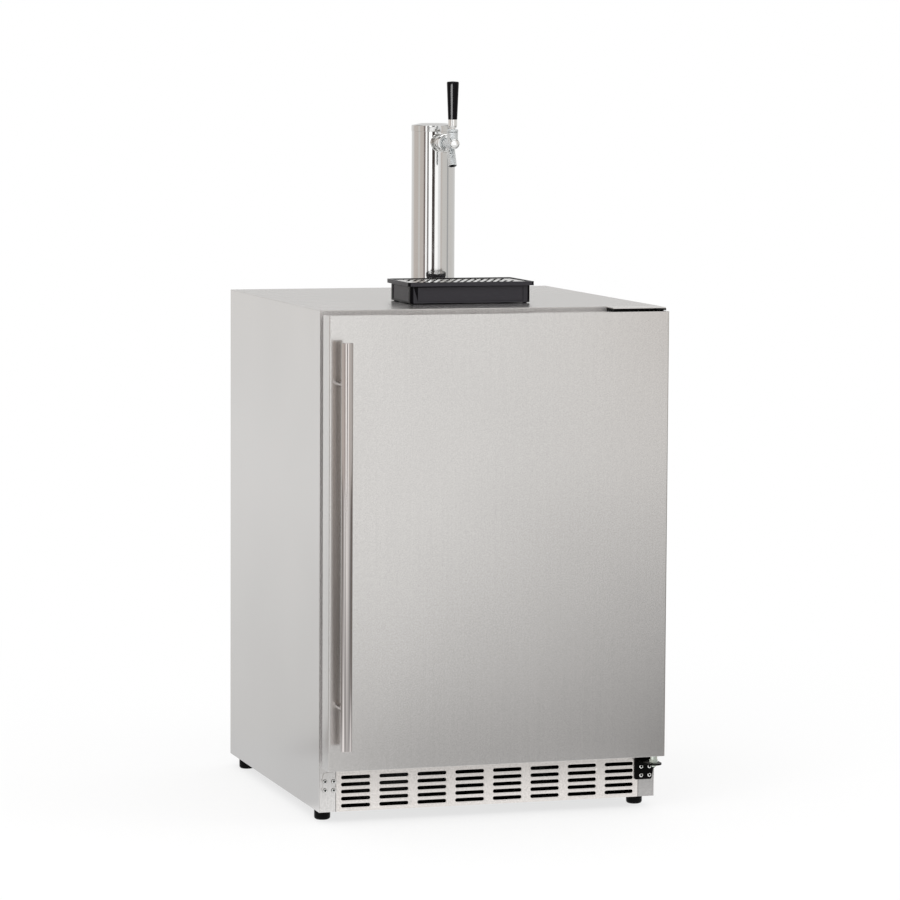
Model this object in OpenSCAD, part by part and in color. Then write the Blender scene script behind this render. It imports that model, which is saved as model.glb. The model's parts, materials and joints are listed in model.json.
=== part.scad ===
// Outdoor kegerator: an insulated steel cabinet with one hinged door and a one-tap draft tower.
// Millimetres. Z is up, the door faces -Y, and z = 0 is the floor under the levelling feet.

/* [Cabinet] */
// Width over the side panels
cab_w = 600; // [540:1:680]
// Depth from the front frame to the back panel
cab_d = 610; // [580:1:680]
// Height of the body above the feet
cab_h = 848; // [780:1:960]
// Clear height between floor and body
foot_gap = 20; // [16:0.5:32]
// Thickness of the outer steel sheets
sheet_t = 1; // [0.8:0.1:1.5]
// Side wall, outer face to cavity
wall_t = 40; // [36:1:55]
// Top wall, outer face to cavity
roof_t = 45; // [38:1:60]
// Back wall, outer face to cavity
rear_wall_t = 45; // [38:1:60]
// Floor wall, kick area to cavity
floor_t = 27; // [22:1:40]
// Wall between the machine bay and the cavity
step_wall_t = 25; // [20:1:35]
// Thickness of the inner liner
liner_t = 2; // [1.5:0.1:3]
// Height of the kick area under the door
kick_h = 78; // [74:1:110]
// Depth of the machine bay at the back
bay_d = 160; // [158:1:180]
// Height of the machine bay above the body's underside
bay_h = 280; // [260:1:340]

/* [Door] */
// Gap between the front frame and the door's steel
door_gap = 16; // [14:0.5:22]
// Thickness of the door
door_t = 40; // [34:1:50]
// Top of the door below the top of the cabinet
door_drop = 6; // [6:0.5:12]
// Underside of the door above the kick area
door_lift = 0.5; // [0.3:0.1:3]
// Side of the door inside the side of the cabinet
door_side = 1; // [0.5:0.5:4]
// Radius of the door's front side edges
door_edge_r = 2.5; // [1.5:0.5:5]
// Thickness of the door's steel skin
skin_t = 1; // [0.8:0.1:1.5]
// Width of the flange round the back of the door skin
skin_flange = 13; // [8:1:15]
// Thickness of the door's inner panel
panel_t = 2; // [1.5:0.1:3]
// Reach of the inner panel's raised ring into the cabinet
dike_h = 33; // [20:1:36]
// Side of that ring inside the edge of the door
dike_in = 59; // [54:1:80]
// Wall of that ring
dike_t = 4; // [2.5:0.5:6]

/* [Seal] */
// Outer edge of the seal inside the edge of the door
seal_in = 16; // [15:0.5:20]
// Width of the seal's foot
seal_w = 21; // [16:1:24]
// Space between the closed seal and the front frame
seal_clear = 0.3; // [0.2:0.1:0.6]

/* [Handle] */
// Diameter of the bar
bar_d = 19.4; // [14:0.2:26]
// Length of the bar
bar_l = 681; // [400:1:720]
// Axis of the bar inside the free side of the door
bar_in = 20; // [14:1:60]
// Axis of the bar in front of the door
bar_out = 37.5; // [26:0.5:60]
// Middle of the bar below the middle of the door
bar_low = 0.8; // [0:0.2:10]
// Diameter of the two posts at the door
post_d = 12; // [8:0.5:15]
// Diameter of the posts at the bar
post_flare_d = 17; // [15:0.5:18]
// Distance between the posts
post_pitch = 542; // [300:1:600]

/* [Hinges] */
// Hinge axis inside the side of the cabinet
hinge_in = 14; // [13.5:0.5:15.5]
// Hinge axis in front of the front frame
hinge_out = 36; // [34:0.5:37]
// Diameter of the hinge pins
pin_d = 8; // [6:0.5:10]
// Thickness of the bracket plates
bracket_t = 3; // [2:0.5:4]
// Middle of the screw pattern inside the side of the cabinet
bolt_in = 17.5; // [17:0.5:18.5]
// Spacing of the four bracket screws
bolt_pitch = 15; // [14:0.5:16]
// Middle of the screw pattern above the body's underside
bolt_up = 45.2; // [42:0.2:50]

/* [Kick area] */
// Thickness of the grille and of the corner posts
kick_t = 1.2; // [1:0.1:2]
// Width of each corner post
corner_w = 28; // [27:0.5:34]
// Seam between a post and the grille
seam = 0.8; // [0.3:0.1:1]
// Number of slot groups
slot_cols = 8; // [4:1:9]
// Number of slots in a group
slot_rows = 5; // [3:1:5]
// Height of a slot
slot_h = 6.4; // [3:0.2:8]
// Steel between slot groups
slot_bridge = 16; // [12:0.2:24]
// Outer slots inside the ends of the grille
slot_edge = 8.9; // [6:0.1:20]
// Distance between slots in a group
slot_pitch_z = 12.1; // [9.5:0.1:14]

/* [Tower] */
// Outer diameter of the column
tower_d = 76.2; // [70:0.2:90]
// Wall of the column
tower_wall = 1.5; // [1:0.1:2.5]
// Height of the tower above the cabinet
tower_h = 305; // [260:1:400]
// Tower axis behind the front frame
tower_y = 342; // [335:1:370]
// Diameter of the base flange
flange_d = 114; // [112:1:130]
// Height of the flange's collar
flange_h = 18; // [12:1:26]
// Height of the cap's skirt
cap_skirt = 11; // [7:0.5:16]
// Outer diameter of the pipe through the insulation
sleeve_d = 56; // [48:1:57]

/* [Tap] */
// Shank axis below the top of the tower
tap_below = 33.7; // [33:0.1:60]
// Lever axis in front of the tower axis
tap_reach = 113.5; // [110:0.5:122]
// Diameter of the coupling nut
nut_d = 32; // [30.5:0.5:36]
// Diameter of the faucet's upright body
faucet_d = 18.7; // [18.4:0.1:22]
// Outer diameter of the spout
spout_d = 14.6; // [14:0.1:16]
// Bore of the spout
spout_bore_d = 12; // [10:0.2:12.6]
// Forward lean of the spout
spout_lean = 22; // [10:1:28]
// Length of the spout from the shank's axis
spout_l = 41.6; // [34:0.2:50]
// Lever pivot above the shank's axis
pivot_up = 16.5; // [15.5:0.1:18]
// How far the lever tilts forward, in degrees
lever_max = 25; // [15:1:25]
// Length of the black tap handle
grip_l = 66; // [50:1:110]
// Diameter of the tap handle at its top
grip_top_d = 21; // [17:0.5:32]
// Diameter of the tap handle at its foot
grip_foot_d = 16; // [14:0.5:20]

/* [Drip tray] */
// Width of the tray's body
tray_w = 215; // [160:1:260]
// Depth of the tray's body
tray_d = 121.5; // [100:0.5:130]
// Height of the tray over its feet
tray_h = 37.8; // [28:0.2:46]
// Front of the tray behind the front frame
tray_y = 118; // [90:1:130]
// Rim outside the body
rim_out = 5.5; // [3:0.5:8]
// Height of the rim
rim_h = 7; // [5:0.5:10]
// Wall of the tray
tray_wall = 2.5; // [2:0.1:3.5]

/* [Feet] */
// Diameter of a foot
foot_d = 27.6; // [22:0.2:34]
// Diameter of a foot's thread
stud_d = 10; // [8:1:12]
// Foot axis inside the side of the cabinet
foot_in = 19; // [18.5:0.5:40]
// Front feet behind the front frame
foot_y = 48; // [42:1:90]
// Back feet in front of the back panel
foot_back = 48; // [42:1:90]

/* [Machine bay] */
// Diameter of the compressor's can
can_d = 132; // [110:1:134]
// Height of the compressor's can
can_h = 165; // [130:1:190]
// Compressor axis inside the right side of the cabinet
can_in = 135; // [115:1:150]
// Diameter of the condenser fan
fan_d = 120; // [90:1:134]

/* [Hidden] */
$fn = 64;

// Colours
steel_c = [0.80, 0.79, 0.77];
dark_steel_c = [0.20, 0.20, 0.21];
chrome_c = [0.88, 0.89, 0.90];
zinc_c = [0.74, 0.75, 0.73];
black_c = [0.05, 0.05, 0.055];
white_c = [0.93, 0.93, 0.91];
foam_c = [0.90, 0.82, 0.58];
rubber_c = [0.09, 0.09, 0.09];
copper_c = [0.72, 0.45, 0.30];

// One overrun for every cut, the play of pieces that slide, and the space between fixed pieces
cut = 1;
play = 0.2;
fit_gap = 0.3;
pin_play = 0.08;

// Levels and planes of the cabinet
half_w = cab_w / 2;
in_w = half_w - sheet_t;
z_bot = foot_gap;
z_top = foot_gap + cab_h;
z_kick = foot_gap + kick_h;
cav_hw = half_w - wall_t;
cav_z0 = z_kick + floor_t;
cav_z1 = z_top - roof_t;
cav_y1 = cab_d - rear_wall_t;
bay_y = cab_d - bay_d;
bay_z = foot_gap + bay_h;
step_y = bay_y - step_wall_t;
step_z = bay_z + step_wall_t;
liner_hw = cav_hw + liner_t;

// Levels and planes of the door
door_hw = half_w - door_side;
door_z0 = z_kick + door_lift;
door_z1 = z_top - door_drop;
door_y0 = -door_gap - door_t;
door_y1 = -door_gap;
skin_y1 = door_y1 - skin_t;
panel_y1 = skin_y1 + panel_t;
seal_hw = door_hw - seal_in;
seal_y1 = -seal_clear;
hinge_x = half_w - hinge_in;
pin_hole_r = pin_d / 2 + pin_play;
hinge_y = -hinge_out;
bar_x = -door_hw + bar_in;
bar_y = door_y0 - bar_out;
bar_z = (door_z0 + door_z1) / 2 - bar_low;
front_reach = -bar_y + bar_d / 2;

// The part stands with the middle of its footprint at the origin
centre_y = (front_reach - cab_d) / 2;
module in_place() { translate([0, centre_y, 0]) children(); }

// Draws an outline of the YZ plane along X, w wide and centred
module along_x(w) { translate([-w / 2, 0, 0]) rotate([90, 0, 90]) linear_extrude(w) children(); }

// Draws an outline of the XZ plane back along Y, from y
module along_y(y, l) { translate([0, y + l, 0]) rotate([90, 0, 0]) linear_extrude(l) children(); }

// A rod along Y from y0 to y1, about the line at x, z
module rod_y(x, z, y0, y1, r) {
    translate([x, y0, z]) rotate([-90, 0, 0]) cylinder(h = y1 - y0, r = r);
}

// A hexagon across its flats
module hex(af) { circle(r = af / sqrt(3), $fn = 6); }

// A slot with round ends, l long over all and w wide, along its own X
module slot2d(l, w) {
    square([l - w, w], center = true);
    for (s = [-1, 1]) translate([s * (l - w) / 2, 0]) circle(d = w);
}

// A rectangle with rounded corners, centred
module round_rect(w, h, r) {
    square([w - 2 * r, h], center = true);
    square([w, h - 2 * r], center = true);
    for (sx = [-1, 1], sy = [-1, 1]) translate([sx * (w / 2 - r), sy * (h / 2 - r)]) circle(r = r);
}

// A turned piece from points of radius and height
module turned(pts) { rotate_extrude($fn = 96) polygon(pts); }

// Points of a quarter arc about c, from angle a0 to a1
function arc(c, r, a0, a1, n = 6) = [for (i = [0:n])
    [c[0] + r * cos(a0 + (a1 - a0) * i / n), c[1] + r * sin(a0 + (a1 - a0) * i / n)]];

// Turn of a rounded edge that a low dome follows
edge_turn = 80;

// A pan head screw that points along -Z from its seat at z = 0
head_h_share = 0.55;
module pan_screw(head_r, shank_r, shank_l) {
    difference() {
        union() {
            turned(concat([[0, 0], [head_r, 0]],
                arc([head_r * (1 - head_h_share), 0], head_r * head_h_share, 0, 90),
                [[0, head_r * head_h_share]]));
            translate([0, 0, -shank_l]) cylinder(h = shank_l + cut, r = shank_r);
        }
        // Hex recess
        translate([0, 0, head_r * head_h_share / 3])
            linear_extrude(head_r) hex(head_r);
    }
}

/* Outer shell */
module side_panel(side) {
    color(steel_c)
        translate([side > 0 ? in_w : -half_w, 0, z_bot]) cube([sheet_t, cab_d, z_top - sheet_t - z_bot]);
}
module side_panel_left() { side_panel(-1); }
module side_panel_right() { side_panel(1); }

// The tower's four screws stand on one circle
flange_screw_in = 8.5;
tower_screw_r = 2.1;
tower_screw_hole_r = tower_screw_r + fit_gap;
sleeve_hole_r = sleeve_d / 2 + fit_gap;
module at_tower_screws() {
    translate([0, tower_y, 0]) for (a = [45:90:315]) rotate([0, 0, a])
        translate([flange_d / 2 - flange_screw_in, 0, 0]) children();
}

// A middle hole and the screw holes, from z0 to z1
module tower_holes(z0, z1, r) {
    translate([0, tower_y, z0]) cylinder(h = z1 - z0, r = r);
    translate([0, 0, z0]) at_tower_screws() cylinder(h = z1 - z0, r = tower_screw_hole_r, $fn = 24);
}

module top_panel() {
    color(steel_c) difference() {
        translate([-half_w, 0, z_top - sheet_t]) cube([cab_w, cab_d, sheet_t]);
        tower_holes(z_top - sheet_t - cut, z_top + cut, sleeve_hole_r);
    }
}

module back_panel() {
    color(zinc_c)
        translate([-in_w, cab_d - sheet_t, bay_z]) cube([2 * in_w, sheet_t, z_top - sheet_t - bay_z]);
}

// Front frame: four bars of steel strip with mitred corners
mitre_gap = 0.2;
module mitred_bar(outer, inner) {
    along_y(0, sheet_t) polygon([outer[0], outer[1], inner[1], inner[0]]);
}
module front_frame() {
    g = mitre_gap / 2;
    ox = in_w;
    oz0 = z_kick;
    oz1 = z_top - sheet_t;
    ix = liner_hw;
    iz0 = cav_z0 - liner_t;
    iz1 = cav_z1 + liner_t;
    color(steel_c) difference() {
        union() {
            mitred_bar([[-ox + g, oz1], [ox - g, oz1]], [[-ix + g, iz1], [ix - g, iz1]]);
            mitred_bar([[-ox + g, oz0], [ox - g, oz0]], [[-ix + g, iz0], [ix - g, iz0]]);
            for (s = [-1, 1])
                mitred_bar([[s * ox, oz0 + g], [s * ox, oz1 - g]], [[s * ix, iz0 + g], [s * ix, iz1 - g]]);
        }
        top_bracket_holes();
    }
}

// Cavity outline in the YZ plane, grown by g
function cavity(g, front) = [[front, cav_z0 - g], [step_y + g, cav_z0 - g], [step_y + g, step_z - g],
    [cav_y1 + g, step_z - g], [cav_y1 + g, cav_z1 + g], [front, cav_z1 + g]];

module inner_liner() {
    color(white_c) difference() {
        along_x(2 * liner_hw) polygon(cavity(liner_t, 0));
        along_x(2 * cav_hw) polygon(cavity(0, -cut));
        translate([0, tower_y, cav_z1 - cut]) cylinder(h = liner_t + 2 * cut, r = sleeve_hole_r);
    }
}

// Foam block between the steel sheets and the liner
module insulation() {
    y0 = sheet_t;
    y1 = cab_d - sheet_t;
    color(foam_c) difference() {
        along_x(2 * in_w) polygon([[y0, z_kick + sheet_t], [bay_y, z_kick + sheet_t], [bay_y, bay_z],
            [y1, bay_z], [y1, z_top - sheet_t], [y0, z_top - sheet_t]]);
        along_x(2 * liner_hw) polygon(cavity(liner_t, 0));
        tower_holes(cav_z1, z_top, sleeve_hole_r);
        top_bracket_holes();
    }
}

// Steel under the floor and round the machine bay, with a flange for the service cover
cover_in = 3;
cover_flange = 20;
cover_y0 = cab_d - cover_in - sheet_t;
module bay_panel() {
    t = sheet_t;
    y1 = cab_d - sheet_t;
    color(zinc_c) difference() {
        along_x(2 * in_w) union() {
            polygon([[t, z_kick], [bay_y + t, z_kick], [bay_y + t, bay_z - t], [y1, bay_z - t], [y1, bay_z],
                [bay_y, bay_z], [bay_y, z_kick + t], [t, z_kick + t]]);
            translate([cover_y0 - t, bay_z - t - cover_flange]) square([t, cover_flange + t]);
        }
        cover_screw_holes(cover_screw_z1);
    }
}

// Base pan with side and back flanges and a welded nut over each foot
pan_t = 1.5;
pan_flange = 20;
weld_nut_h = 9;
weld_nut_wall = 5;
weld_nut_r = stud_d / 2 + weld_nut_wall;
stud_hole_r = stud_d / 2 + play;
module at_feet() {
    for (s = [-1, 1], y = [foot_y, cab_d - foot_back]) translate([s * (half_w - foot_in), y, 0]) children();
}
module base_pan() {
    y1 = cover_y0;
    color(black_c) difference() {
        union() {
            translate([-in_w, kick_t, z_bot]) cube([2 * in_w, y1 - kick_t, pan_t]);
            for (s = [-1, 1]) translate([s > 0 ? in_w - pan_t : -in_w, corner_back + fit_gap, z_bot])
                cube([pan_t, y1 - corner_back - fit_gap, pan_flange]);
            translate([-in_w, y1 - pan_t, z_bot]) cube([2 * in_w, pan_t, pan_flange]);
            at_feet() translate([0, 0, z_bot]) cylinder(h = pan_t + weld_nut_h, r = weld_nut_r);
        }
        at_feet() translate([0, 0, z_bot - cut]) cylinder(h = pan_t + weld_nut_h + 2 * cut, r = stud_hole_r);
        cover_screw_holes(z_bot + cover_screw_up);
        for (s = [-1, 1], t = [-1, 1]) translate([can_x + s * mount_x, can_y + t * mount_y, z_bot - cut])
            cylinder(h = pan_t + 2 * cut, r = mount_pin_r + fit_gap, $fn = 24);
    }
}

// Loose floor plate that the keg stands on
keg_floor_t = 2;
keg_floor_in = 2;
keg_floor_edge = 6;
module keg_floor() {
    w = 2 * (cav_hw - keg_floor_in);
    d = step_y - 2 * keg_floor_in;
    color(steel_c) translate([0, keg_floor_in + d / 2, cav_z0]) linear_extrude(keg_floor_t)
        round_rect(w, d, keg_floor_edge);
}

/* Kick area */
grille_hw = in_w - corner_w - seam;
corner_back = 21;
bolt_r = 2.05;
bolt_hole_r = bolt_r + fit_gap;
bolt_head_r = 3.9;
bolt_l = 10;
bolt_x = half_w - bolt_in;
bolt_z = z_bot + bolt_up;

// The four bracket holes or screws of one side
module at_bolts(side) {
    for (sx = [-1, 1], sz = [-1, 1])
        translate([side * bolt_x + sx * bolt_pitch / 2, 0, bolt_z + sz * bolt_pitch / 2]) children();
}

// Corner post: front face and an inner return over the base pan
module corner_post(side) {
    x_in = in_w - corner_w;
    color(steel_c) difference() {
        union() {
            translate([side > 0 ? x_in : -in_w, 0, z_bot]) cube([corner_w, kick_t, z_kick - z_bot]);
            translate([side > 0 ? x_in : -x_in - kick_t, 0, z_bot + pan_t])
                cube([kick_t, corner_back, z_kick - z_bot - pan_t]);
        }
        at_bolts(side) rod_y(0, 0, -cut, kick_t + cut, bolt_hole_r);
    }
}
module corner_post_left() { corner_post(-1); }
module corner_post_right() { corner_post(1); }

// Vent grille: rows of slots with pressed rims, and a return along the top
grille_return = 12;
grille_low = 0.5;
slot_mid_up = 33.9;
rim_depth = 0.6;
rim_w = 1.3;
slot_l = (2 * (grille_hw - slot_edge) - (slot_cols - 1) * slot_bridge) / slot_cols;
slot_pitch_x = slot_l + slot_bridge;
module slot_field(grow) {
    for (i = [0:slot_cols - 1], j = [0:slot_rows - 1])
        translate([(i - (slot_cols - 1) / 2) * slot_pitch_x,
            z_bot + slot_mid_up + (j - (slot_rows - 1) / 2) * slot_pitch_z])
            slot2d(slot_l + 2 * grow, slot_h + 2 * grow);
}
module kick_grille() {
    z1 = z_kick - grille_low;
    color(steel_c) difference() {
        union() {
            translate([-grille_hw, 0, z_bot]) cube([2 * grille_hw, kick_t, z1 - z_bot]);
            translate([-grille_hw, 0, z1 - kick_t]) cube([2 * grille_hw, grille_return, kick_t]);
        }
        along_y(-cut, kick_t + 2 * cut) slot_field(0);
        // Shallow pressed border of each slot
        along_y(-cut, cut + rim_depth) slot_field(rim_w);
    }
}

/* Hinges */
// Blanking plate over the unused hinge holes, with a lobe round each screw
blank_t = 1.5;
blank_lobe_r = 6.3;
blank_out = 4;
blank_up = 23;
blank_r = 8;
module hinge_blank_plate() {
    x0 = -bolt_x - bolt_pitch / 2 - blank_out;
    x1 = -bolt_x + bolt_pitch / 2;
    z0 = bolt_z - bolt_pitch / 2 - blank_out;
    z1 = bolt_z + blank_up;
    color(steel_c) difference() {
        along_y(-blank_t, blank_t) {
            difference() {
                translate([x0, z0]) square([x1 - x0, z1 - z0]);
                translate([x0, z1 - blank_r]) square([blank_r, blank_r]);
            }
            translate([x0 + blank_r, z1 - blank_r]) circle(r = blank_r);
            for (sx = [-1, 1], sz = [-1, 1])
                translate([-bolt_x + sx * bolt_pitch / 2, bolt_z + sz * bolt_pitch / 2])
                    circle(r = blank_lobe_r);
        }
        at_bolts(-1) rod_y(0, 0, -blank_t - cut, cut, bolt_hole_r);
    }
}

// Bottom bracket: a plate on the corner post and a shelf under the door
shelf_up = 61.3;
shelf_z = z_bot + shelf_up;
ear_r = 13.6;
ear_side = 0.4;
shelf_w = 31.6;
plate_in = 11.5;
plate_low = 7.5;
plate_slant = 5;
plate_up = 23;
plate_chamfer = 2;
gusset_t = 2.5;
gusset_d = 20;
gusset_h = 12;
module shelf_outline() {
    x1 = half_w - ear_side;
    polygon([[x1 - shelf_w, 0], [x1 - shelf_w, hinge_y + ear_r], [hinge_x - ear_r, hinge_y], [x1, hinge_y],
        [x1, 0]]);
    translate([hinge_x, hinge_y]) circle(r = ear_r);
}
module bottom_hinge_bracket() {
    x0 = bolt_x - bolt_pitch / 2 - plate_in;
    x1 = half_w - ear_side;
    z0 = bolt_z - bolt_pitch / 2 - plate_low;
    z1 = bolt_z + plate_up;
    c = plate_chamfer;
    color(dark_steel_c) difference() {
        union() {
            along_y(-bracket_t, bracket_t) polygon([[x0 + c, z0], [x1 - plate_slant - c, z0],
                [x1 - plate_slant, z0 + c], [x1, shelf_z - c], [x1, z1 - c], [x1 - c, z1], [x0 + c, z1],
                [x0, z1 - c], [x0, z0 + c]]);
            translate([0, 0, shelf_z]) linear_extrude(bracket_t) shelf_outline();
            translate([x1 - gusset_t / 2, 0, 0]) along_x(gusset_t) polygon([[0, shelf_z],
                [-gusset_d, shelf_z], [-bracket_t, shelf_z - gusset_h], [0, shelf_z - gusset_h]]);
        }
        at_bolts(1) rod_y(0, 0, -bracket_t - cut, cut, bolt_hole_r);
        translate([hinge_x, hinge_y, shelf_z - cut]) cylinder(h = bracket_t + 2 * cut, r = pin_hole_r);
    }
}

// Bottom pin: its end stands below the shelf, and a hex collar and a shoulder carry the door
pin_below = 3.6;
pin_hex_af = 13.5;
pin_hex_h = 6;
pin_shoulder_r = 6;
pin_in = 11;
bush_flange_t = 1.5;
bush_wall = 3;
bush_l = 13.5;
top_bush_flange_t = 0.7;
module bottom_hinge_pin() {
    z0 = shelf_z + bracket_t;
    z1 = door_z0 - bush_flange_t - fit_gap;
    color(zinc_c) translate([hinge_x, hinge_y, 0]) {
        translate([0, 0, shelf_z - pin_below])
            cylinder(h = door_z0 + pin_in - shelf_z + pin_below, r = pin_d / 2);
        translate([0, 0, z0]) linear_extrude(pin_hex_h) hex(pin_hex_af);
        translate([0, 0, z0]) cylinder(h = z1 - z0, r = pin_shoulder_r);
    }
}

// Top bracket: a plate over the door with its pin, and a leg on the front frame
cover_t = 2;
top_plate_z1 = z_top - cover_t;
top_plate_z0 = top_plate_z1 - bracket_t;
top_w = 94;
top_leg_h = 17.5;
top_ear_r = 8;
top_screw_low = 8;
top_head_r = 2.8;
top_screw_pitch = 28.4;
top_screw_in = 5.9;
top_screws = 3;
module at_top_screws() {
    for (i = [0:top_screws - 1])
        translate([half_w - top_screw_in - i * top_screw_pitch, 0, z_top - top_screw_low]) children();
}
module top_bracket_holes() { at_top_screws() rod_y(0, 0, -bracket_t - cut, bolt_l + cut, bolt_hole_r); }
module top_hinge_bracket() {
    x1 = half_w - ear_side;
    x0 = x1 - top_w;
    color(dark_steel_c) {
        difference() {
            union() {
                translate([x0, -cover_reach, top_plate_z0]) cube([top_w, cover_reach, bracket_t]);
                translate([hinge_x, hinge_y, top_plate_z0]) cylinder(h = bracket_t, r = top_ear_r);
                translate([x0, -bracket_t, top_plate_z1 - top_leg_h]) cube([top_w, bracket_t, top_leg_h]);
            }
            top_bracket_holes();
        }
        translate([hinge_x, hinge_y, door_z1 - pin_in])
            cylinder(h = top_plate_z1 - door_z1 + pin_in, r = pin_d / 2);
    }
}

// Bright strip over the top bracket, level with the top panel
cover_past = 1.6;
cover_reach = hinge_out + cover_past;
cover_extra = 1;
cover_side = 0.9;
module hinge_cover_plate() {
    x1 = half_w - cover_side;
    x0 = half_w - ear_side - top_w - cover_extra;
    color(steel_c) translate([x0, -cover_reach, top_plate_z1]) cube([x1 - x0, cover_reach, cover_t]);
}

// Screws of both hinge positions
module hinge_screws() {
    color(zinc_c) {
        at_bolts(-1) translate([0, -blank_t, 0]) rotate([90, 0, 0])
            pan_screw(bolt_head_r, bolt_r, bolt_l);
        at_bolts(1) translate([0, -bracket_t, 0]) rotate([90, 0, 0])
            pan_screw(bolt_head_r, bolt_r, bolt_l);
        at_top_screws() translate([0, -bracket_t, 0]) rotate([90, 0, 0])
            pan_screw(top_head_r, bolt_r, bolt_l);
    }
}

/* Machine bay */
mount_h = 7.5;
mount_r = 11;
mount_pin_r = 4;
mount_x = 74;
mount_y = 40;
foot_plate_t = 3;
foot_plate_edge = 15;
can_x = half_w - can_in;
can_y = (bay_y + sheet_t + cover_y0) / 2;
can_z0 = z_bot + pan_t + mount_h + foot_plate_t;
can_base_share = 0.85;
dome_r = 30;
dome_h = 26;
weld_w = 4;
weld_h = 5;
pipe_r = 4;
pipe_l = 26;
module compressor() {
    r = can_d / 2;
    color(black_c) translate([can_x, can_y, 0]) {
        difference() {
            translate([0, 0, can_z0 - foot_plate_t]) linear_extrude(foot_plate_t)
                round_rect(2 * (mount_x + foot_plate_edge), 2 * (mount_y + foot_plate_edge),
                    foot_plate_edge);
            for (s = [-1, 1], t = [-1, 1]) translate([s * mount_x, t * mount_y, can_z0 - foot_plate_t - cut])
                cylinder(h = foot_plate_t + 2 * cut, r = mount_pin_r + play);
        }
        translate([0, 0, can_z0]) turned(concat([[0, 0], [r * can_base_share, 0], [r - weld_w, dome_h],
            [r - weld_w, can_h / 2 - weld_h], [r, can_h / 2 - weld_h], [r, can_h / 2],
            [r - weld_w, can_h / 2]],
            arc([r - weld_w - dome_r, can_h - dome_r], dome_r, 0, 90), [[0, can_h]]));
        // Suction and discharge stubs
        for (a = [60, 120]) rotate([0, 0, a]) translate([r / 2, 0, can_z0 + can_h - cut])
            cylinder(h = pipe_l, r = pipe_r);
    }
}

// Rubber mounts between the base pan and the compressor's foot plate
module compressor_mounts() {
    color(rubber_c) for (s = [-1, 1], t = [-1, 1])
        translate([can_x + s * mount_x, can_y + t * mount_y, z_bot + pan_t]) {
            cylinder(h = mount_h, r = mount_r);
            translate([0, 0, -pan_t]) cylinder(h = pan_t + mount_h + foot_plate_t, r = mount_pin_r);
        }
}

// Condenser: one serpentine tube between two end plates
coil_r = 4;
coil_rows = 8;
coil_pitch = 25;
coil_in = 110;
coil_x = -half_w + coil_in;
coil_end = 14;
coil_plate_t = 1.5;
coil_plate_w = 40;
coil_low = 22;
module condenser_coil() {
    bend_r = coil_pitch / 2;
    y0 = bay_y + sheet_t + bend_r + coil_end;
    y1 = cover_y0 - bend_r - coil_end;
    z0 = z_bot + pan_t + coil_low;
    color(copper_c) translate([coil_x, 0, 0]) {
        for (i = [0:coil_rows - 1]) rod_y(0, z0 + i * coil_pitch, y0, y1, coil_r);
        for (i = [0:coil_rows - 2]) translate([0, i % 2 == 0 ? y1 : y0, z0 + (i + 0.5) * coil_pitch])
            rotate([0, 90, 0]) rotate([0, 0, i % 2 == 0 ? 0 : 180])
                rotate_extrude(angle = 180) translate([bend_r, 0]) circle(r = coil_r, $fn = 24);
        for (y = [y0 + coil_end, y1 - coil_end - coil_plate_t])
            translate([-coil_plate_w / 2, y, z_bot + pan_t]) cube([coil_plate_w, coil_plate_t,
                coil_low + (coil_rows - 1) * coil_pitch + coil_r + coil_end]);
    }
}

// Shroud with a motor on two arms
shroud_t = 2;
shroud_side = 190;
shroud_x = -half_w + shroud_side;
shroud_ring_w = 18;
fan_tip = 3;
motor_r = 17;
motor_l = 22;
arm_w = 10;
shroud_in = 8;
fan_z = (z_bot + pan_t + bay_z) / 2;
module fan_shroud() {
    y0 = bay_y + sheet_t + shroud_in;
    y1 = cover_y0 - shroud_in;
    z0 = z_bot + pan_t;
    z1 = bay_z - sheet_t - shroud_in;
    color(black_c) translate([shroud_x, 0, 0]) {
        difference() {
            union() {
                translate([0, y0, z0]) cube([shroud_t, y1 - y0, z1 - z0]);
                translate([0, can_y, fan_z]) rotate([0, 90, 0])
                    cylinder(h = shroud_ring_w, r = fan_d / 2 + fan_tip + shroud_t);
            }
            translate([-cut, can_y, fan_z]) rotate([0, 90, 0])
                cylinder(h = shroud_ring_w + 2 * cut, r = fan_d / 2 + fan_tip);
        }
        // Motor behind the blades, held by two arms
        translate([-motor_l, can_y, fan_z]) rotate([0, 90, 0]) cylinder(h = motor_l - fit_gap, r = motor_r);
        for (s = [-1, 1])
            translate([-shroud_t, s > 0 ? can_y + motor_r / 2 : y0, fan_z - arm_w / 2])
                cube([shroud_t, s > 0 ? y1 - can_y - motor_r / 2 : can_y - motor_r / 2 - y0, arm_w]);
    }
}

// A fan about the X axis: a hub and flat pitched blades within radius r
hub_share = 0.3;
blade_w_share = 0.42;
blade_turn = 32;
blade_t = 1.6;
blades = 5;
module fan(r, depth) {
    hub = r * hub_share;
    blade_w = r * blade_w_share;
    rotate([0, 90, 0]) {
        cylinder(h = depth, r = hub);
        intersection() {
            cylinder(h = depth, r = r);
            union() for (i = [0:blades - 1]) rotate([0, 0, i * 360 / blades])
                translate([hub / 2, 0, depth / 2]) rotate([blade_turn, 0, 0])
                    translate([0, -blade_w / 2, -blade_t / 2]) cube([r, blade_w, blade_t]);
        }
    }
}
blade_depth = 14;
module condenser_fan() {
    color(white_c) translate([shroud_x + play, can_y, fan_z]) fan(fan_d / 2, blade_depth);
}

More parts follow.
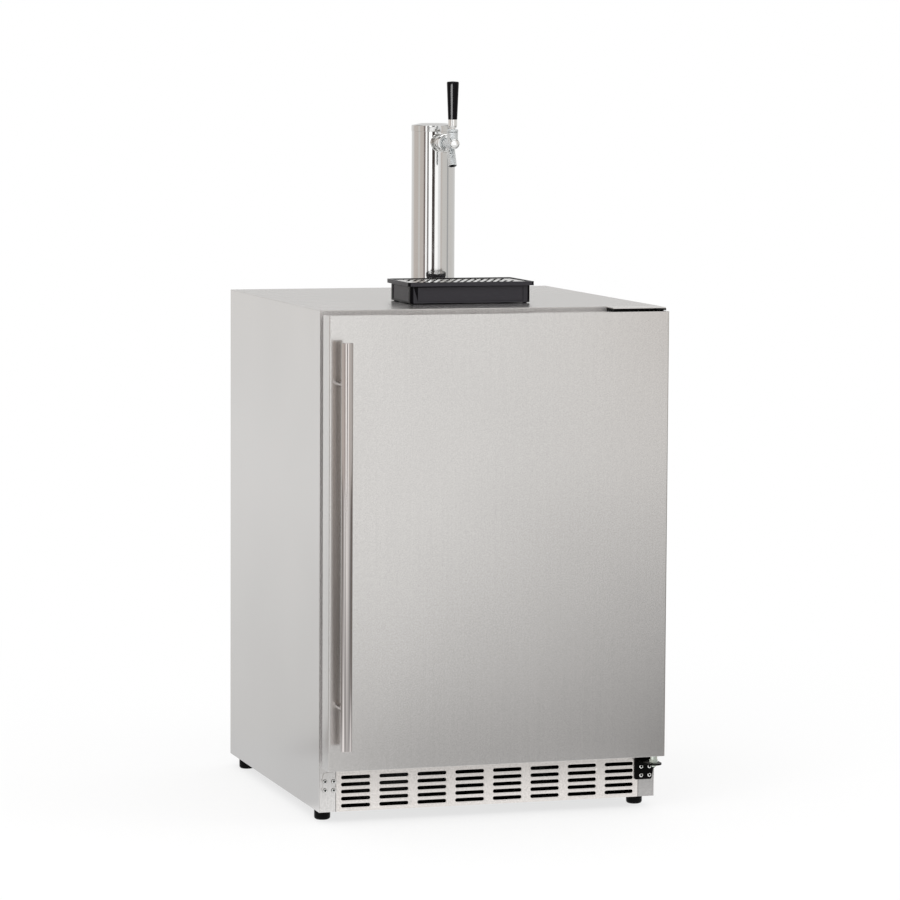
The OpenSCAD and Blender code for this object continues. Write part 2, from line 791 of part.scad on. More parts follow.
// Louvred cover of the machine bay
louvre_cols = 3;
louvre_rows = 8;
louvre_h = 5;
louvre_pitch = 15;
louvre_gap = 45;
louvre_in = 89;
louvre_l = (2 * (in_w - louvre_in) - (louvre_cols - 1) * louvre_gap) / louvre_cols;
louvre_down = 115;
cover_screw_up = 10;
cover_screw_in = 60;
gland_in = 70;
gland_x = -half_w + gland_in;
gland_up = 55;
gland_r = 8;
gland_bore_r = 4.2;
cover_side_gap = 0.4;
cover_screw_l = 6;
cover_screw_z1 = bay_z - sheet_t - cover_flange / 2;
module at_cover_screws(z) {
    for (s = [-1, 1]) translate([s * (in_w - cover_screw_in), cover_y0 + sheet_t, z])
        rotate([-90, 0, 0]) children();
}
module cover_screw_holes(z) {
    at_cover_screws(z) translate([0, 0, -cover_screw_l - cut])
        cylinder(h = cover_screw_l + 2 * cut, r = bolt_hole_r);
}
module rear_service_cover() {
    z1 = bay_z - sheet_t - cover_side_gap;
    w = in_w - cover_side_gap;
    color(zinc_c) difference() {
        translate([-w, cover_y0, z_bot]) cube([2 * w, sheet_t, z1 - z_bot]);
        along_y(cover_y0 - cut, sheet_t + 2 * cut) for (i = [0:louvre_cols - 1], j = [0:louvre_rows - 1])
            translate([(i - (louvre_cols - 1) / 2) * (louvre_l + louvre_gap),
                bay_z - louvre_down + (j - (louvre_rows - 1) / 2) * louvre_pitch])
                slot2d(louvre_l, louvre_h);
        cover_screw_holes(z_bot + cover_screw_up);
        cover_screw_holes(cover_screw_z1);
        rod_y(gland_x, z_bot + gland_up, cover_y0 - cut, cab_d, gland_r + fit_gap);
    }
}
module cover_screws() {
    color(zinc_c) for (z = [z_bot + cover_screw_up, cover_screw_z1]) at_cover_screws(z)
        pan_screw(bolt_head_r, bolt_r, cover_screw_l);
}

// Cable inlet of the mains lead
gland_flange_r = 12;
gland_back = 9;
module cord_gland() {
    y1 = cover_y0 + sheet_t;
    h = cover_in - cover_side_gap;
    color(black_c) difference() {
        union() {
            rod_y(gland_x, z_bot + gland_up, y1 - gland_back, y1 + h, gland_r);
            rod_y(gland_x, z_bot + gland_up, y1, y1 + h, gland_flange_r);
            along_y(cover_y0 - gland_back / 2, gland_back / 2) translate([gland_x, z_bot + gland_up])
                hex(2 * gland_flange_r);
        }
        rod_y(gland_x, z_bot + gland_up, y1 - gland_back - cut, cab_d + cut, gland_bore_r);
    }
}

/* Tower */
gasket_t = 1.5;
base_z = z_top + gasket_t;
flange_t = 4;
flange_lip = 1.6;
tower_r = tower_d / 2;
tower_in_r = tower_r - tower_wall;
collar_r = tower_r + flange_lip;
seat_wall = 3;
seat_r = sleeve_d / 2 + seat_wall;
seat_h = 3;
tower_z0 = base_z + seat_h;
cap_dome = 3.6;
cap_lip = 0.7;
cap_z0 = z_top + tower_h - cap_dome - cap_skirt;
tap_axis_z = z_top + tower_h - tap_below;
flange_sweep = 8;
tower_screw_head_r = 3.6;
tower_screw_l = 16;

module line_sleeve() {
    r = sleeve_d / 2;
    wall = liner_t;
    lip = 8;
    z0 = cav_z1 - wall;
    color(white_c) translate([0, tower_y, 0]) difference() {
        union() {
            translate([0, 0, z0]) cylinder(h = z_top - z0, r = r);
            translate([0, 0, z0]) cylinder(h = wall, r = r + lip);
        }
        translate([0, 0, z0 - cut]) cylinder(h = z_top - z0 + 2 * cut, r = r - wall);
    }
}

module tower_gasket() {
    color(rubber_c) difference() {
        translate([0, tower_y, z_top]) cylinder(h = gasket_t, r = flange_d / 2 + fit_gap);
        tower_holes(z_top - cut, z_top + gasket_t + cut, seat_r);
    }
}

// Spun flange with a hollow sweep up to the collar round the column
module tower_flange() {
    r = flange_d / 2;
    sweep = min(flange_sweep, flange_h - flange_t);
    color(chrome_c) difference() {
        translate([0, tower_y, base_z]) turned(concat(
            [[seat_r, 0], [r, 0], [r, flange_t - play], [r - play, flange_t]],
            arc([collar_r + sweep, flange_t + sweep], sweep, 270, 180),
            [[collar_r, flange_h], [tower_r + play, flange_h], [tower_r + play, seat_h], [seat_r, seat_h]]));
        // Holes with a flat round each screw head
        translate([0, 0, base_z - cut]) at_tower_screws()
            cylinder(h = flange_h, r = tower_screw_hole_r, $fn = 24);
        translate([0, 0, base_z + flange_t]) at_tower_screws()
            cylinder(h = flange_h, r = tower_screw_head_r + fit_gap);
    }
}

module tower_screws() {
    color(chrome_c) translate([0, 0, base_z + flange_t]) at_tower_screws()
        pan_screw(tower_screw_head_r, tower_screw_r, tower_screw_l);
}

shank_r = 11;
shank_hole_r = shank_r + play;
module tower_column() {
    color(chrome_c) difference() {
        translate([0, tower_y, tower_z0]) cylinder(h = cap_z0 - tower_z0, r = tower_r, $fn = 128);
        translate([0, tower_y, tower_z0 - cut])
            cylinder(h = cap_z0 - tower_z0 + 2 * cut, r = tower_in_r, $fn = 128);
        rod_y(0, tap_axis_z, tower_y - tower_d, tower_y, shank_hole_r);
    }
}

// Cap with a plug that sits inside the column
cap_plug = 7;
cap_wall = 1.5;
cap_flat_share = 0.56;
cap_edge_r = 1;
module tower_cap() {
    r = tower_r + cap_lip;
    z1 = cap_skirt + cap_dome;
    color(chrome_c) translate([0, tower_y, cap_z0]) turned(concat(
        [[0, cap_wall], [tower_in_r - play - cap_wall, cap_wall], [tower_in_r - play - cap_wall, -cap_plug],
            [tower_in_r - play, -cap_plug], [tower_in_r - play, 0], [r, 0]],
        arc([r - cap_edge_r, cap_skirt - cap_edge_r], cap_edge_r, 0, edge_turn, 4),
        [[r * cap_flat_share, z1 - play], [0, z1]]));
}

/* Tap */
lever_y = tower_y - tap_reach;
tower_face_y = tower_y - tower_r;
shank_flange_d = 33;
shank_flange_t = 6.5;
shank_head_r = 12.5;
tap_back = 44.8;
seal_face_y = lever_y + tap_back;
chamber_r = 7;
chamber_l = 16;
tail_r = 4;
tail_l = 22;
tail_bore_r = 2.5;
shank_end_in = 36;
shank_end_y = tower_face_y + shank_end_in;
nut_af = 27;
shank_nut_t = 7;

module shank() {
    head_y1 = tower_face_y - shank_flange_t;
    y1 = shank_end_y;
    color(chrome_c) difference() {
        union() {
            rod_y(0, tap_axis_z, seal_face_y, head_y1, shank_head_r);
            rod_y(0, tap_axis_z, seal_face_y, y1, shank_r);
            rod_y(0, tap_axis_z, y1 - cut, y1 + tail_l, tail_r);
        }
        rod_y(0, tap_axis_z, seal_face_y - cut, seal_face_y + chamber_l, chamber_r);
        rod_y(0, tap_axis_z, seal_face_y, y1 + tail_l + cut, tail_bore_r);
    }
}

// Round flange whose back follows the column
module shank_flange() {
    y0 = tower_face_y - shank_flange_t + play;
    color(chrome_c) difference() {
        rod_y(0, tap_axis_z, y0, tower_face_y + shank_flange_t / 2, shank_flange_d / 2);
        rod_y(0, tap_axis_z, y0 - cut, tower_y, shank_hole_r);
        translate([0, tower_y, tap_axis_z - shank_flange_d])
            cylinder(h = 2 * shank_flange_d, r = tower_r + pin_play, $fn = 128);
    }
}

module shank_nut() {
    // The nut's corners meet the curved wall inside the column
    corner = nut_af / sqrt(3);
    y0 = tower_y - sqrt(pow(tower_in_r - pin_play, 2) - corner * corner);
    color(zinc_c) difference() {
        along_y(y0, shank_nut_t) translate([0, tap_axis_z]) hex(nut_af);
        rod_y(0, tap_axis_z, y0 - cut, y0 + shank_nut_t + cut, shank_r + pin_play);
    }
}

nut_lip = 2.5;
nut_l = 19;
nut_round = 4;
nut_chamfer = 0.5;
nut_hole_r = 9;
body_flange_r = 12;
body_flange_t = 4;
spanner_r = 1.8;
module coupling_nut() {
    y0 = seal_face_y - fit_gap - body_flange_t - fit_gap - nut_lip;
    r = nut_d / 2;
    color(chrome_c) difference() {
        translate([0, y0, tap_axis_z]) rotate([-90, 0, 0]) turned(concat(
            [[nut_hole_r, 0], [r - nut_round, 0]], arc([r - nut_round, nut_round], nut_round, 270, 360),
            [[r, nut_l - nut_chamfer], [r - nut_chamfer, nut_l], [shank_head_r + play, nut_l],
                [shank_head_r + play, nut_lip], [nut_hole_r, nut_lip]]));
        // Spanner holes
        for (a = [30:60:330]) translate([0, y0 + nut_l / 2, tap_axis_z]) rotate([0, a, 0])
            translate([0, 0, r - spanner_r]) cylinder(h = spanner_r + cut, r = spanner_r, $fn = 24);
    }
}

shaft_bore_r = 4.8;
cross_r = 9;
cross_front = 12.5;
neck_r = 7.5;
body_top_up = 19.3;
socket_r = 7.4;
seat_bore_r = 6.8;
seat_depth = 9;
spout_back = 14.5;
finger_r = 1.8;
finger_gap = 0.4;
vent_r = 1;
vent_turn = 40;
vent_up = 8.3;
// Two vents of the spout: distance down it, and turn about it
vent_high = 15.8;
vent_high_turn = 43;
vent_low = 20.7;
vent_low_turn = 24;
spout_vents = [[vent_high, vent_high_turn], [vent_low, vent_low_turn]];
nub_down = 12.5;
nub_r = 1.5;
nub_ring_r = 2.8;
nub_sink = 0.8;

// How far back of its axis the lever's finger reaches at a height above the shank's axis
function finger_reach(z) = (pivot_up - z) * tan(lever_max) + finger_r / cos(lever_max) + finger_gap;
module along_spout() {
    translate([0, lever_y + spout_back, tap_axis_z]) rotate([-spout_lean, 0, 0]) children();
}
module faucet_body() {
    y1 = seal_face_y - fit_gap;
    y0 = lever_y - cross_front;
    back_y = lever_y + cross_front;
    low_z = cross_r - finger_r;
    color(chrome_c) difference() {
        union() {
            rod_y(0, tap_axis_z, y0, back_y, cross_r);
            translate([0, lever_y, tap_axis_z]) cylinder(h = body_top_up, r = faucet_d / 2);
            translate([0, back_y, tap_axis_z]) rotate([-90, 0, 0])
                cylinder(h = y1 - body_flange_t - back_y, r1 = cross_r, r2 = neck_r);
            rod_y(0, tap_axis_z, y1 - body_flange_t - cut, y1, neck_r + cut);
            rod_y(0, tap_axis_z, y1 - body_flange_t, y1, body_flange_r);
            along_spout() translate([0, 0, -spout_l]) cylinder(h = spout_l, r = spout_d / 2);
        }
        // Beer way: shaft bore, valve seat and spout
        rod_y(0, tap_axis_z, y0 - cut, y1 + cut, shaft_bore_r);
        rod_y(0, tap_axis_z, y1 - seat_depth, y1 + cut, seat_bore_r);
        along_spout() {
            translate([0, 0, -spout_l - cut]) cylinder(h = spout_l - cross_r + cut, r = spout_bore_d / 2);
            translate([0, 0, -spout_l]) cylinder(h = spout_l, r = shaft_bore_r - play);
        }
        // Ball socket, and room for the lever's finger
        translate([0, lever_y, tap_axis_z + pivot_up]) sphere(r = socket_r, $fn = 64);
        translate([0, lever_y, tap_axis_z + pivot_up]) cylinder(h = socket_r, r = socket_r - play);
        finger_room(low_z, finger_reach(sqrt(pow(shaft_bore_r, 2) - pow(finger_r + finger_gap, 2))));
        finger_room(pivot_up - socket_r + finger_r, finger_reach(low_z));
        // Air vents of the body and the spout
        translate([0, lever_y, tap_axis_z + vent_up]) rotate([90, 0, -vent_turn])
            cylinder(h = faucet_d, r = vent_r, $fn = 24);
        along_spout() for (v = spout_vents) translate([0, 0, -v[0]]) rotate([90, 0, -v[1]])
            cylinder(h = spout_d, r = vent_r, $fn = 24);
        // A ring-shaped pocket round a small nub
        along_spout() translate([0, 0, -nub_down]) rotate([90, 0, 0]) difference() {
            cylinder(h = spout_d, r = nub_ring_r);
            translate([0, 0, -cut]) cylinder(h = spout_d / 2 + cut, r = nub_r);
            translate([0, 0, -cut]) cylinder(h = spout_d / 2 - nub_sink + cut, r = nub_ring_r + cut);
        }
    }
}
module finger_room(h, y1) {
    y0 = -finger_r - finger_gap;
    translate([y0, lever_y + y0, tap_axis_z]) cube([-2 * y0, y1 - y0, h]);
}

// Domed cap that closes the front of the body
cap_front_t = 3;
cap_front_r = 8.6;
cap_plug_l = 3.5;
module faucet_cap() {
    y0 = lever_y - cross_front;
    color(chrome_c) translate([0, y0, tap_axis_z]) rotate([90, 0, 0]) turned(concat(
        [[0, -cap_plug_l], [shaft_bore_r - pin_play, -cap_plug_l], [shaft_bore_r - pin_play, 0],
            [cap_front_r, 0]],
        arc([cap_front_r - cap_front_t, 0], cap_front_t, 0, edge_turn, 4), [[0, cap_front_t + play]]));
}

// Ring nut round the lever's ball
bonnet_h = 5.6;
bonnet_gap = 0.2;
bonnet_r = 9.8;
bonnet_round = 2.2;
bonnet_mouth_r = 7.4;
bonnet_throat_r = 6.6;
throat_up = 3.6;
module faucet_bonnet() {
    z0 = body_top_up + bonnet_gap - pivot_up;
    z1 = z0 + bonnet_h;
    color(chrome_c) translate([0, lever_y, tap_axis_z + pivot_up]) difference() {
        turned(concat([[0, z0], [bonnet_r - bonnet_round, z0]],
            arc([bonnet_r - bonnet_round, z0 + bonnet_round], bonnet_round, 270, 360),
            arc([bonnet_r - bonnet_round, z1 - bonnet_round], bonnet_round, 0, 90), [[0, z1]]));
        sphere(r = socket_r, $fn = 64);
        turned([[0, throat_up], [bonnet_throat_r, throat_up], [bonnet_mouth_r, z1 + play], [0, z1 + play]]);
    }
}

// Valve shaft: slides back along Y when the lever is pulled
guide_back = 8;
guide_slot = 7.2;
rod_r = 3.2;
valve_r = 6.4;
valve_t = 3;
tip_r = 2.6;
module faucet_shaft() {
    valve_y = seal_face_y - seat_depth;
    r = shaft_bore_r - play;
    color(chrome_c) difference() {
        union() {
            rod_y(0, tap_axis_z, lever_y - guide_back, lever_y + guide_back, r);
            rod_y(0, tap_axis_z, lever_y, valve_y + valve_t, rod_r);
            rod_y(0, tap_axis_z, valve_y, valve_y + valve_t, valve_r);
        }
        translate([-tip_r - fit_gap, lever_y - guide_slot / 2, tap_axis_z - tip_r - fit_gap])
            cube([2 * (tip_r + fit_gap), guide_slot, 2 * r]);
    }
}

// Lever: finger, ball, neck and the bright ferrule under the handle
lever_ball_r = 7.1;
lever_neck_r = 2.8;
ferrule_r = 7.85;
ferrule_up = 11.4;
ferrule_h = 14;
ferrule_step = 2.2;
ferrule_step_in = 0.5;
thread_r = 4.7;
thread_l = 16;
module tap_lever() {
    z1 = ferrule_up + ferrule_h;
    color(chrome_c) translate([0, lever_y, tap_axis_z + pivot_up]) {
        sphere(r = lever_ball_r, $fn = 64);
        translate([0, 0, -pivot_up]) cylinder(h = pivot_up, r = finger_r, $fn = 32);
        translate([0, 0, -pivot_up]) sphere(r = tip_r, $fn = 32);
        cylinder(h = ferrule_up + cut, r = lever_neck_r);
        turned([[0, ferrule_up], [ferrule_r - ferrule_step_in, ferrule_up], [ferrule_r - ferrule_step_in,
            ferrule_up + ferrule_step], [ferrule_r, ferrule_up + ferrule_step + ferrule_step_in],
            [ferrule_r, z1], [0, z1]]);
        translate([0, 0, z1 - cut]) cylinder(h = thread_l + cut, r = thread_r);
    }
}

grip_z0 = tap_axis_z + pivot_up + ferrule_up + ferrule_h;
grip_edge_r = 2;
grip_crown = 0.8;
module tap_handle() {
    r0 = grip_foot_d / 2;
    r1 = grip_top_d / 2;
    e = grip_edge_r;
    color(black_c) translate([0, lever_y, grip_z0]) turned(concat(
        [[thread_r + play, 0], [r0, 0]], arc([r1 - e, grip_l - e - grip_crown], e, 0, edge_turn, 5),
        [[0, grip_l], [0, thread_l + fit_gap], [thread_r + play, thread_l + fit_gap]]));
}

/* Drip tray */
tray_foot_h = 1.6;
tray_foot_r = 4;
tray_foot_in = 8;
tray_r = 5;
rim_r = 4;
ledge_w = 5;
ledge_low = 2.6;
panel_in = 1;
panel_edge = 13;
panel_top = 2;
panel_low = 3;
tray_mid_y = tray_y + tray_d / 2;
module tray_block(w, d, z0, z1, r) {
    translate([0, tray_mid_y, z0]) linear_extrude(z1 - z0) round_rect(w, d, r);
}
module drip_tray() {
    z0 = z_top + tray_foot_h;
    z1 = z_top + tray_h;
    zr = z1 - rim_h;
    zl = z1 - ledge_low;
    iw = tray_w - 2 * tray_wall;
    id = tray_d - 2 * tray_wall;
    color(black_c) {
        difference() {
            union() {
                tray_block(tray_w, tray_d, z0, z1, tray_r);
                tray_block(tray_w + 2 * rim_out, tray_d + 2 * rim_out, zr, z1, rim_r);
            }
            tray_block(iw, id, z0 + tray_wall, z1 + cut, tray_r - tray_wall);
            tray_block(iw + 2 * ledge_w, id + 2 * ledge_w, zl, z1 + cut, rim_r - play);
            // Sunk panels of the four sides
            for (s = [-1, 1]) {
                py = s > 0 ? tray_y + tray_d - panel_in : tray_y - cut;
                px = s > 0 ? tray_w / 2 - panel_in : -tray_w / 2 - cut;
                ph = zr - panel_top - z0 - panel_low;
                translate([-tray_w / 2 + panel_edge, py, z0 + panel_low])
                    cube([tray_w - 2 * panel_edge, panel_in + cut, ph]);
                translate([px, tray_y + panel_edge, z0 + panel_low])
                    cube([panel_in + cut, tray_d - 2 * panel_edge, ph]);
            }
        }
        for (sx = [-1, 1], sy = [-1, 1])
            translate([sx * (tray_w / 2 - tray_foot_in),
                tray_mid_y + sy * (tray_d / 2 - tray_foot_in), z_top])
                cylinder(h = tray_foot_h + play, r = tray_foot_r, $fn = 24);
    }
}

// Steel plate with two rows of slanted slots
plate_t = 1;
plate_gap = 0.5;
drain_w = 5;
drain_slant = 24;
drain_pitch = 12;
drain_edge = 9;
drain_bridge = 5;
module drip_grille() {
    iw = tray_w - 2 * tray_wall + 2 * ledge_w - 2 * plate_gap;
    id = tray_d - 2 * tray_wall + 2 * ledge_w - 2 * plate_gap;
    row = (id - 2 * drain_edge - drain_bridge) / 2;
    drain_l = (row - drain_w) / cos(drain_slant) + drain_w;
    count = floor((iw - 2 * drain_edge - row * tan(drain_slant) - drain_w) / drain_pitch);
    color(steel_c) translate([0, tray_mid_y, z_top + tray_h - ledge_low]) linear_extrude(plate_t)
        difference() {
            round_rect(iw, id, rim_r - plate_gap);
            for (i = [0:count], s = [-1, 1])
                translate([(i - count / 2) * drain_pitch, s * (row + drain_bridge) / 2])
                    rotate(90 - drain_slant) slot2d(drain_l, drain_w);
        }
}

/* Inside the cabinet */
evap_side = 70;
evap_w = 2 * (cav_hw - evap_side);
evap_d = 34;
evap_up = 22;
evap_h = 210;
evap_wall = 2.5;
inner_fan_r = 40;
evap_fan_low = 92;
evap_z1 = cav_z1 - evap_up;
evap_z0 = evap_z1 - evap_h;
evap_y0 = cav_y1 - evap_d;
inner_fan_z = evap_z1 - evap_fan_low;
inner_fan_depth = 12;
guard_w = 3;
guard_hub_r = 12;
air_slots = 9;
air_slot_pitch = evap_w / (air_slots + 1);
air_slot_w = 6;
air_slot_h = 35;
air_slot_up = 17;
module evaporator_cover() {
    color(white_c) difference() {
        union() {
            difference() {
                translate([-evap_w / 2, evap_y0, evap_z0]) cube([evap_w, evap_d, evap_h]);
                translate([-evap_w / 2 + evap_wall, evap_y0 + evap_wall, evap_z0 + evap_wall])
                    cube([evap_w - 2 * evap_wall, evap_d, evap_h - 2 * evap_wall]);
                rod_y(0, inner_fan_z, evap_y0 - cut, evap_y0 + evap_wall + cut, inner_fan_r + fan_tip);
            }
            // Guard with the fan's bearing
            for (a = [0:45:135]) translate([0, evap_y0 + evap_wall / 2, inner_fan_z]) rotate([0, a, 0])
                cube([2 * (inner_fan_r + fan_tip) + guard_w, evap_wall, guard_w], center = true);
            rod_y(0, inner_fan_z, evap_y0, evap_y0 + evap_wall + fan_tip, guard_hub_r);
        }
        // Air slots along the bottom
        for (i = [1:air_slots])
            translate([i * air_slot_pitch - (evap_w + air_slot_w) / 2, evap_y0 - cut, evap_z0 + air_slot_up])
                cube([air_slot_w, evap_wall + 2 * cut, air_slot_h]);
    }
}
module circulation_fan() {
    color(white_c) translate([0, evap_y0 + evap_wall + fan_tip + play + inner_fan_depth, inner_fan_z])
        rotate([0, 0, -90]) fan(inner_fan_r, inner_fan_depth);
}

thermo_w = 90;
thermo_d = 70;
thermo_h = 33;
thermo_in = 75;
thermo_x = cav_hw - thermo_in;
thermo_y = 40;
thermo_wall = 2.5;
thermo_front = 6;
knob_r = 12;
knob_l = 10;
knob_post_r = 3;
knob_post_l = 5;
module thermostat_housing() {
    z1 = cav_z1;
    color(white_c) difference() {
        translate([thermo_x, thermo_y + thermo_d / 2, z1 - thermo_h]) linear_extrude(thermo_h)
            round_rect(thermo_w, thermo_d, thermo_wall);
        // Hollow above, and the bore for the knob's post
        translate([thermo_x - thermo_w / 2 + thermo_wall, thermo_y + thermo_front,
            z1 - thermo_h + thermo_wall])
            cube([thermo_w - 2 * thermo_wall, thermo_d - thermo_front - thermo_wall, thermo_h]);
        rod_y(thermo_x, z1 - thermo_h / 2, thermo_y - cut, thermo_y + thermo_front + cut,
            knob_post_r + pin_play);
    }
}
module thermostat_knob() {
    z = cav_z1 - thermo_h / 2;
    y1 = thermo_y - fit_gap;
    color(black_c) difference() {
        union() {
            rod_y(thermo_x, z, y1 - knob_l, y1, knob_r);
            rod_y(thermo_x, z, y1 - cut, y1 + knob_post_l + fit_gap, knob_post_r);
        }
        // Finger flats leave a raised bar
        for (s = [-1, 1])
            translate([thermo_x + s * (knob_r + knob_post_r) - knob_r, y1 - knob_l - cut, z - knob_r])
                cube([2 * knob_r, knob_l / 2 + cut, 2 * knob_r]);
    }
}

/* Door */
// Plan outline of the door with rounded front edges, shrunk by g
module door_plan(g, back_y) {
    r = door_edge_r - g;
    w = door_hw - g;
    y0 = door_y0 + g;
    translate([-w, y0 + r]) square([2 * w, back_y - y0 - r]);
    translate([-w + r, y0]) square([2 * (w - r), r + cut]);
    for (s = [-1, 1]) translate([s * (w - r), y0 + r]) circle(r = r);
}
module hinge_bore(r, z0, z1) { translate([hinge_x, hinge_y, z0]) cylinder(h = z1 - z0, r = r); }
bush_r = pin_hole_r + bush_wall;

module door_skin() {
    t = skin_t;
    fw = door_hw - skin_flange;
    color(steel_c) difference() {
        translate([0, 0, door_z0]) linear_extrude(door_z1 - door_z0) door_plan(0, door_y1);
        translate([0, 0, door_z0 + t]) linear_extrude(door_z1 - door_z0 - 2 * t) door_plan(t, skin_y1);
        translate([-fw, skin_y1 - cut, door_z0 + skin_flange])
            cube([2 * fw, skin_t + 2 * cut, door_z1 - door_z0 - 2 * skin_flange]);
        hinge_bore(bush_r + play, door_z0 - cut, door_z0 + t + cut);
        hinge_bore(bush_r + play, door_z1 - t - cut, door_z1 + cut);
    }
}

module door_foam() {
    t = skin_t;
    color(foam_c) difference() {
        translate([0, 0, door_z0 + t]) linear_extrude(door_z1 - door_z0 - 2 * t) door_plan(t, skin_y1);
        hinge_bore(bush_r + play, door_z0, door_z0 + bush_l + fit_gap);
        hinge_bore(bush_r + play, door_z1 - bush_l - fit_gap, door_z1);
    }
}

// Inner panel with a raised ring that reaches into the cabinet
liner_gap = 0.4;
dike_r = 12;
module door_liner() {
    w = door_hw - skin_flange - liner_gap;
    z0 = door_z0 + skin_flange + liner_gap;
    z1 = door_z1 - skin_flange - liner_gap;
    mid = (door_z0 + door_z1) / 2;
    dw = 2 * (door_hw - dike_in);
    dh = door_z1 - door_z0 - 2 * dike_in;
    color(white_c) {
        translate([-w, skin_y1, z0]) cube([2 * w, panel_t, z1 - z0]);
        difference() {
            along_y(skin_y1 + panel_t / 2, dike_h) translate([0, mid]) round_rect(dw, dh, dike_r);
            along_y(skin_y1 + panel_t, dike_h) translate([0, mid])
                round_rect(dw - 2 * dike_t, dh - 2 * dike_t, dike_r - dike_t);
        }
    }
}

// Magnetic seal: foot, bellows and magnet pocket as three nested rings
seal_foot_t = 3;
seal_pocket_t = 5;
seal_neck_in = 4.5;
seal_pocket_in = 2;
module seal_ring(in, w, y0, y1) {
    ow = 2 * (seal_hw - in);
    oh = door_z1 - door_z0 - 2 * (seal_in + in);
    mid = (door_z0 + door_z1) / 2;
    along_y(y0, y1 - y0) translate([0, mid]) difference() {
        square([ow, oh], center = true);
        square([ow - 2 * w, oh - 2 * w], center = true);
    }
}
module door_seal() {
    y0 = panel_y1;
    y1 = seal_y1;
    color(rubber_c) {
        seal_ring(0, seal_w, y0, y0 + seal_foot_t);
        seal_ring(seal_neck_in, seal_w - 2 * seal_neck_in, y0, y1);
        seal_ring(seal_pocket_in, seal_w - 2 * seal_pocket_in, y1 - seal_pocket_t, y1);
    }
}

bar_chamfer = 1;
module handle_bar() {
    r = bar_d / 2;
    c = bar_chamfer;
    color(steel_c) translate([bar_x, bar_y, bar_z - bar_l / 2])
        turned([[0, 0], [r - c, 0], [r, c], [r, bar_l - c], [r - c, bar_l], [0, bar_l]]);
}
flare_l = 15;
module handle_posts() {
    color(steel_c) difference() {
        for (s = [-1, 1]) {
            rod_y(bar_x, bar_z + s * post_pitch / 2, bar_y, door_y0, post_d / 2);
            translate([bar_x, bar_y, bar_z + s * post_pitch / 2]) rotate([-90, 0, 0])
                cylinder(h = bar_d / 2 + flare_l, r1 = post_flare_d / 2, r2 = post_d / 2);
        }
        translate([bar_x, bar_y, bar_z - bar_l / 2]) cylinder(h = bar_l, r = bar_d / 2 + pin_play, $fn = 96);
    }
}

// Flanged bushings in the door's underside and top
bush_lip = 2;
module door_bushings() {
    color(black_c) {
        difference() {
            union() {
                hinge_bore(bush_r, door_z0 - bush_flange_t, door_z0 + bush_l);
                hinge_bore(bush_r + bush_lip, door_z0 - bush_flange_t, door_z0);
            }
            hinge_bore(pin_hole_r, door_z0 - bush_flange_t - cut, door_z0 + pin_in + fit_gap);
        }
        difference() {
            union() {
                hinge_bore(bush_r, door_z1 - bush_l, door_z1 + top_bush_flange_t);
                hinge_bore(bush_r + bush_lip, door_z1, door_z1 + top_bush_flange_t);
            }
            hinge_bore(pin_hole_r, door_z1 - pin_in - fit_gap, door_z1 + top_bush_flange_t + cut);
        }
    }
}

/* Feet */
foot_edge_r = 4.5;
foot_top_r = 1;
stud_up = 4;
module foot(side, y) {
    r = foot_d / 2;
    h = z_bot - fit_gap;
    color(black_c) translate([side * (half_w - foot_in), y, 0]) {
        turned(concat([[0, 0]], arc([r - foot_edge_r, foot_edge_r], foot_edge_r, 270, 360),
            [[r, h - foot_top_r], [r - foot_top_r, h], [0, h]]));
        translate([0, 0, h - cut])
            cylinder(h = cut + fit_gap + pan_t + weld_nut_h + stud_up, r = stud_d / 2);
    }
}
module foot_front_left() { foot(-1, foot_y); }
module foot_front_right() { foot(1, foot_y); }
module foot_back_left() { foot(-1, cab_d - foot_back); }
module foot_back_right() { foot(1, cab_d - foot_back); }

in_place() side_panel_left();
in_place() side_panel_right();
in_place() top_panel();
in_place() back_panel();
in_place() front_frame();
in_place() inner_liner();
in_place() insulation();
in_place() base_pan();
in_place() bay_panel();
in_place() keg_floor();
in_place() kick_grille();
in_place() corner_post_left();
in_place() corner_post_right();
in_place() hinge_blank_plate();
in_place() bottom_hinge_bracket();
in_place() bottom_hinge_pin();
in_place() top_hinge_bracket();
in_place() hinge_cover_plate();
in_place() hinge_screws();
in_place() compressor();
in_place() compressor_mounts();
in_place() condenser_coil();
in_place() fan_shroud();
in_place() condenser_fan();
in_place() rear_service_cover();
in_place() cover_screws();
in_place() cord_gland();
in_place() line_sleeve();
in_place() tower_gasket();
in_place() tower_flange();
in_place() tower_screws();
in_place() tower_column();
in_place() tower_cap();
in_place() shank();
in_place() shank_flange();
in_place() shank_nut();
in_place() coupling_nut();
in_place() faucet_body();
in_place() faucet_cap();
in_place() faucet_bonnet();
in_place() faucet_shaft();
in_place() tap_lever();
in_place() tap_handle();
in_place() drip_tray();
in_place() drip_grille();
in_place() evaporator_cover();
in_place() circulation_fan();
in_place() thermostat_housing();
in_place() thermostat_knob();
in_place() door_skin();
in_place() door_foam();
in_place() door_liner();
in_place() door_seal();
in_place() handle_bar();
in_place() handle_posts();
in_place() door_bushings();
in_place() foot_front_left();
in_place() foot_front_right();
in_place() foot_back_left();
in_place() foot_back_right();
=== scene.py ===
import json
from math import cos, degrees, hypot, pi, radians, sin

import bmesh
import bpy
from bpy.props import FloatProperty, FloatVectorProperty, PointerProperty
from mathutils import Matrix, Vector

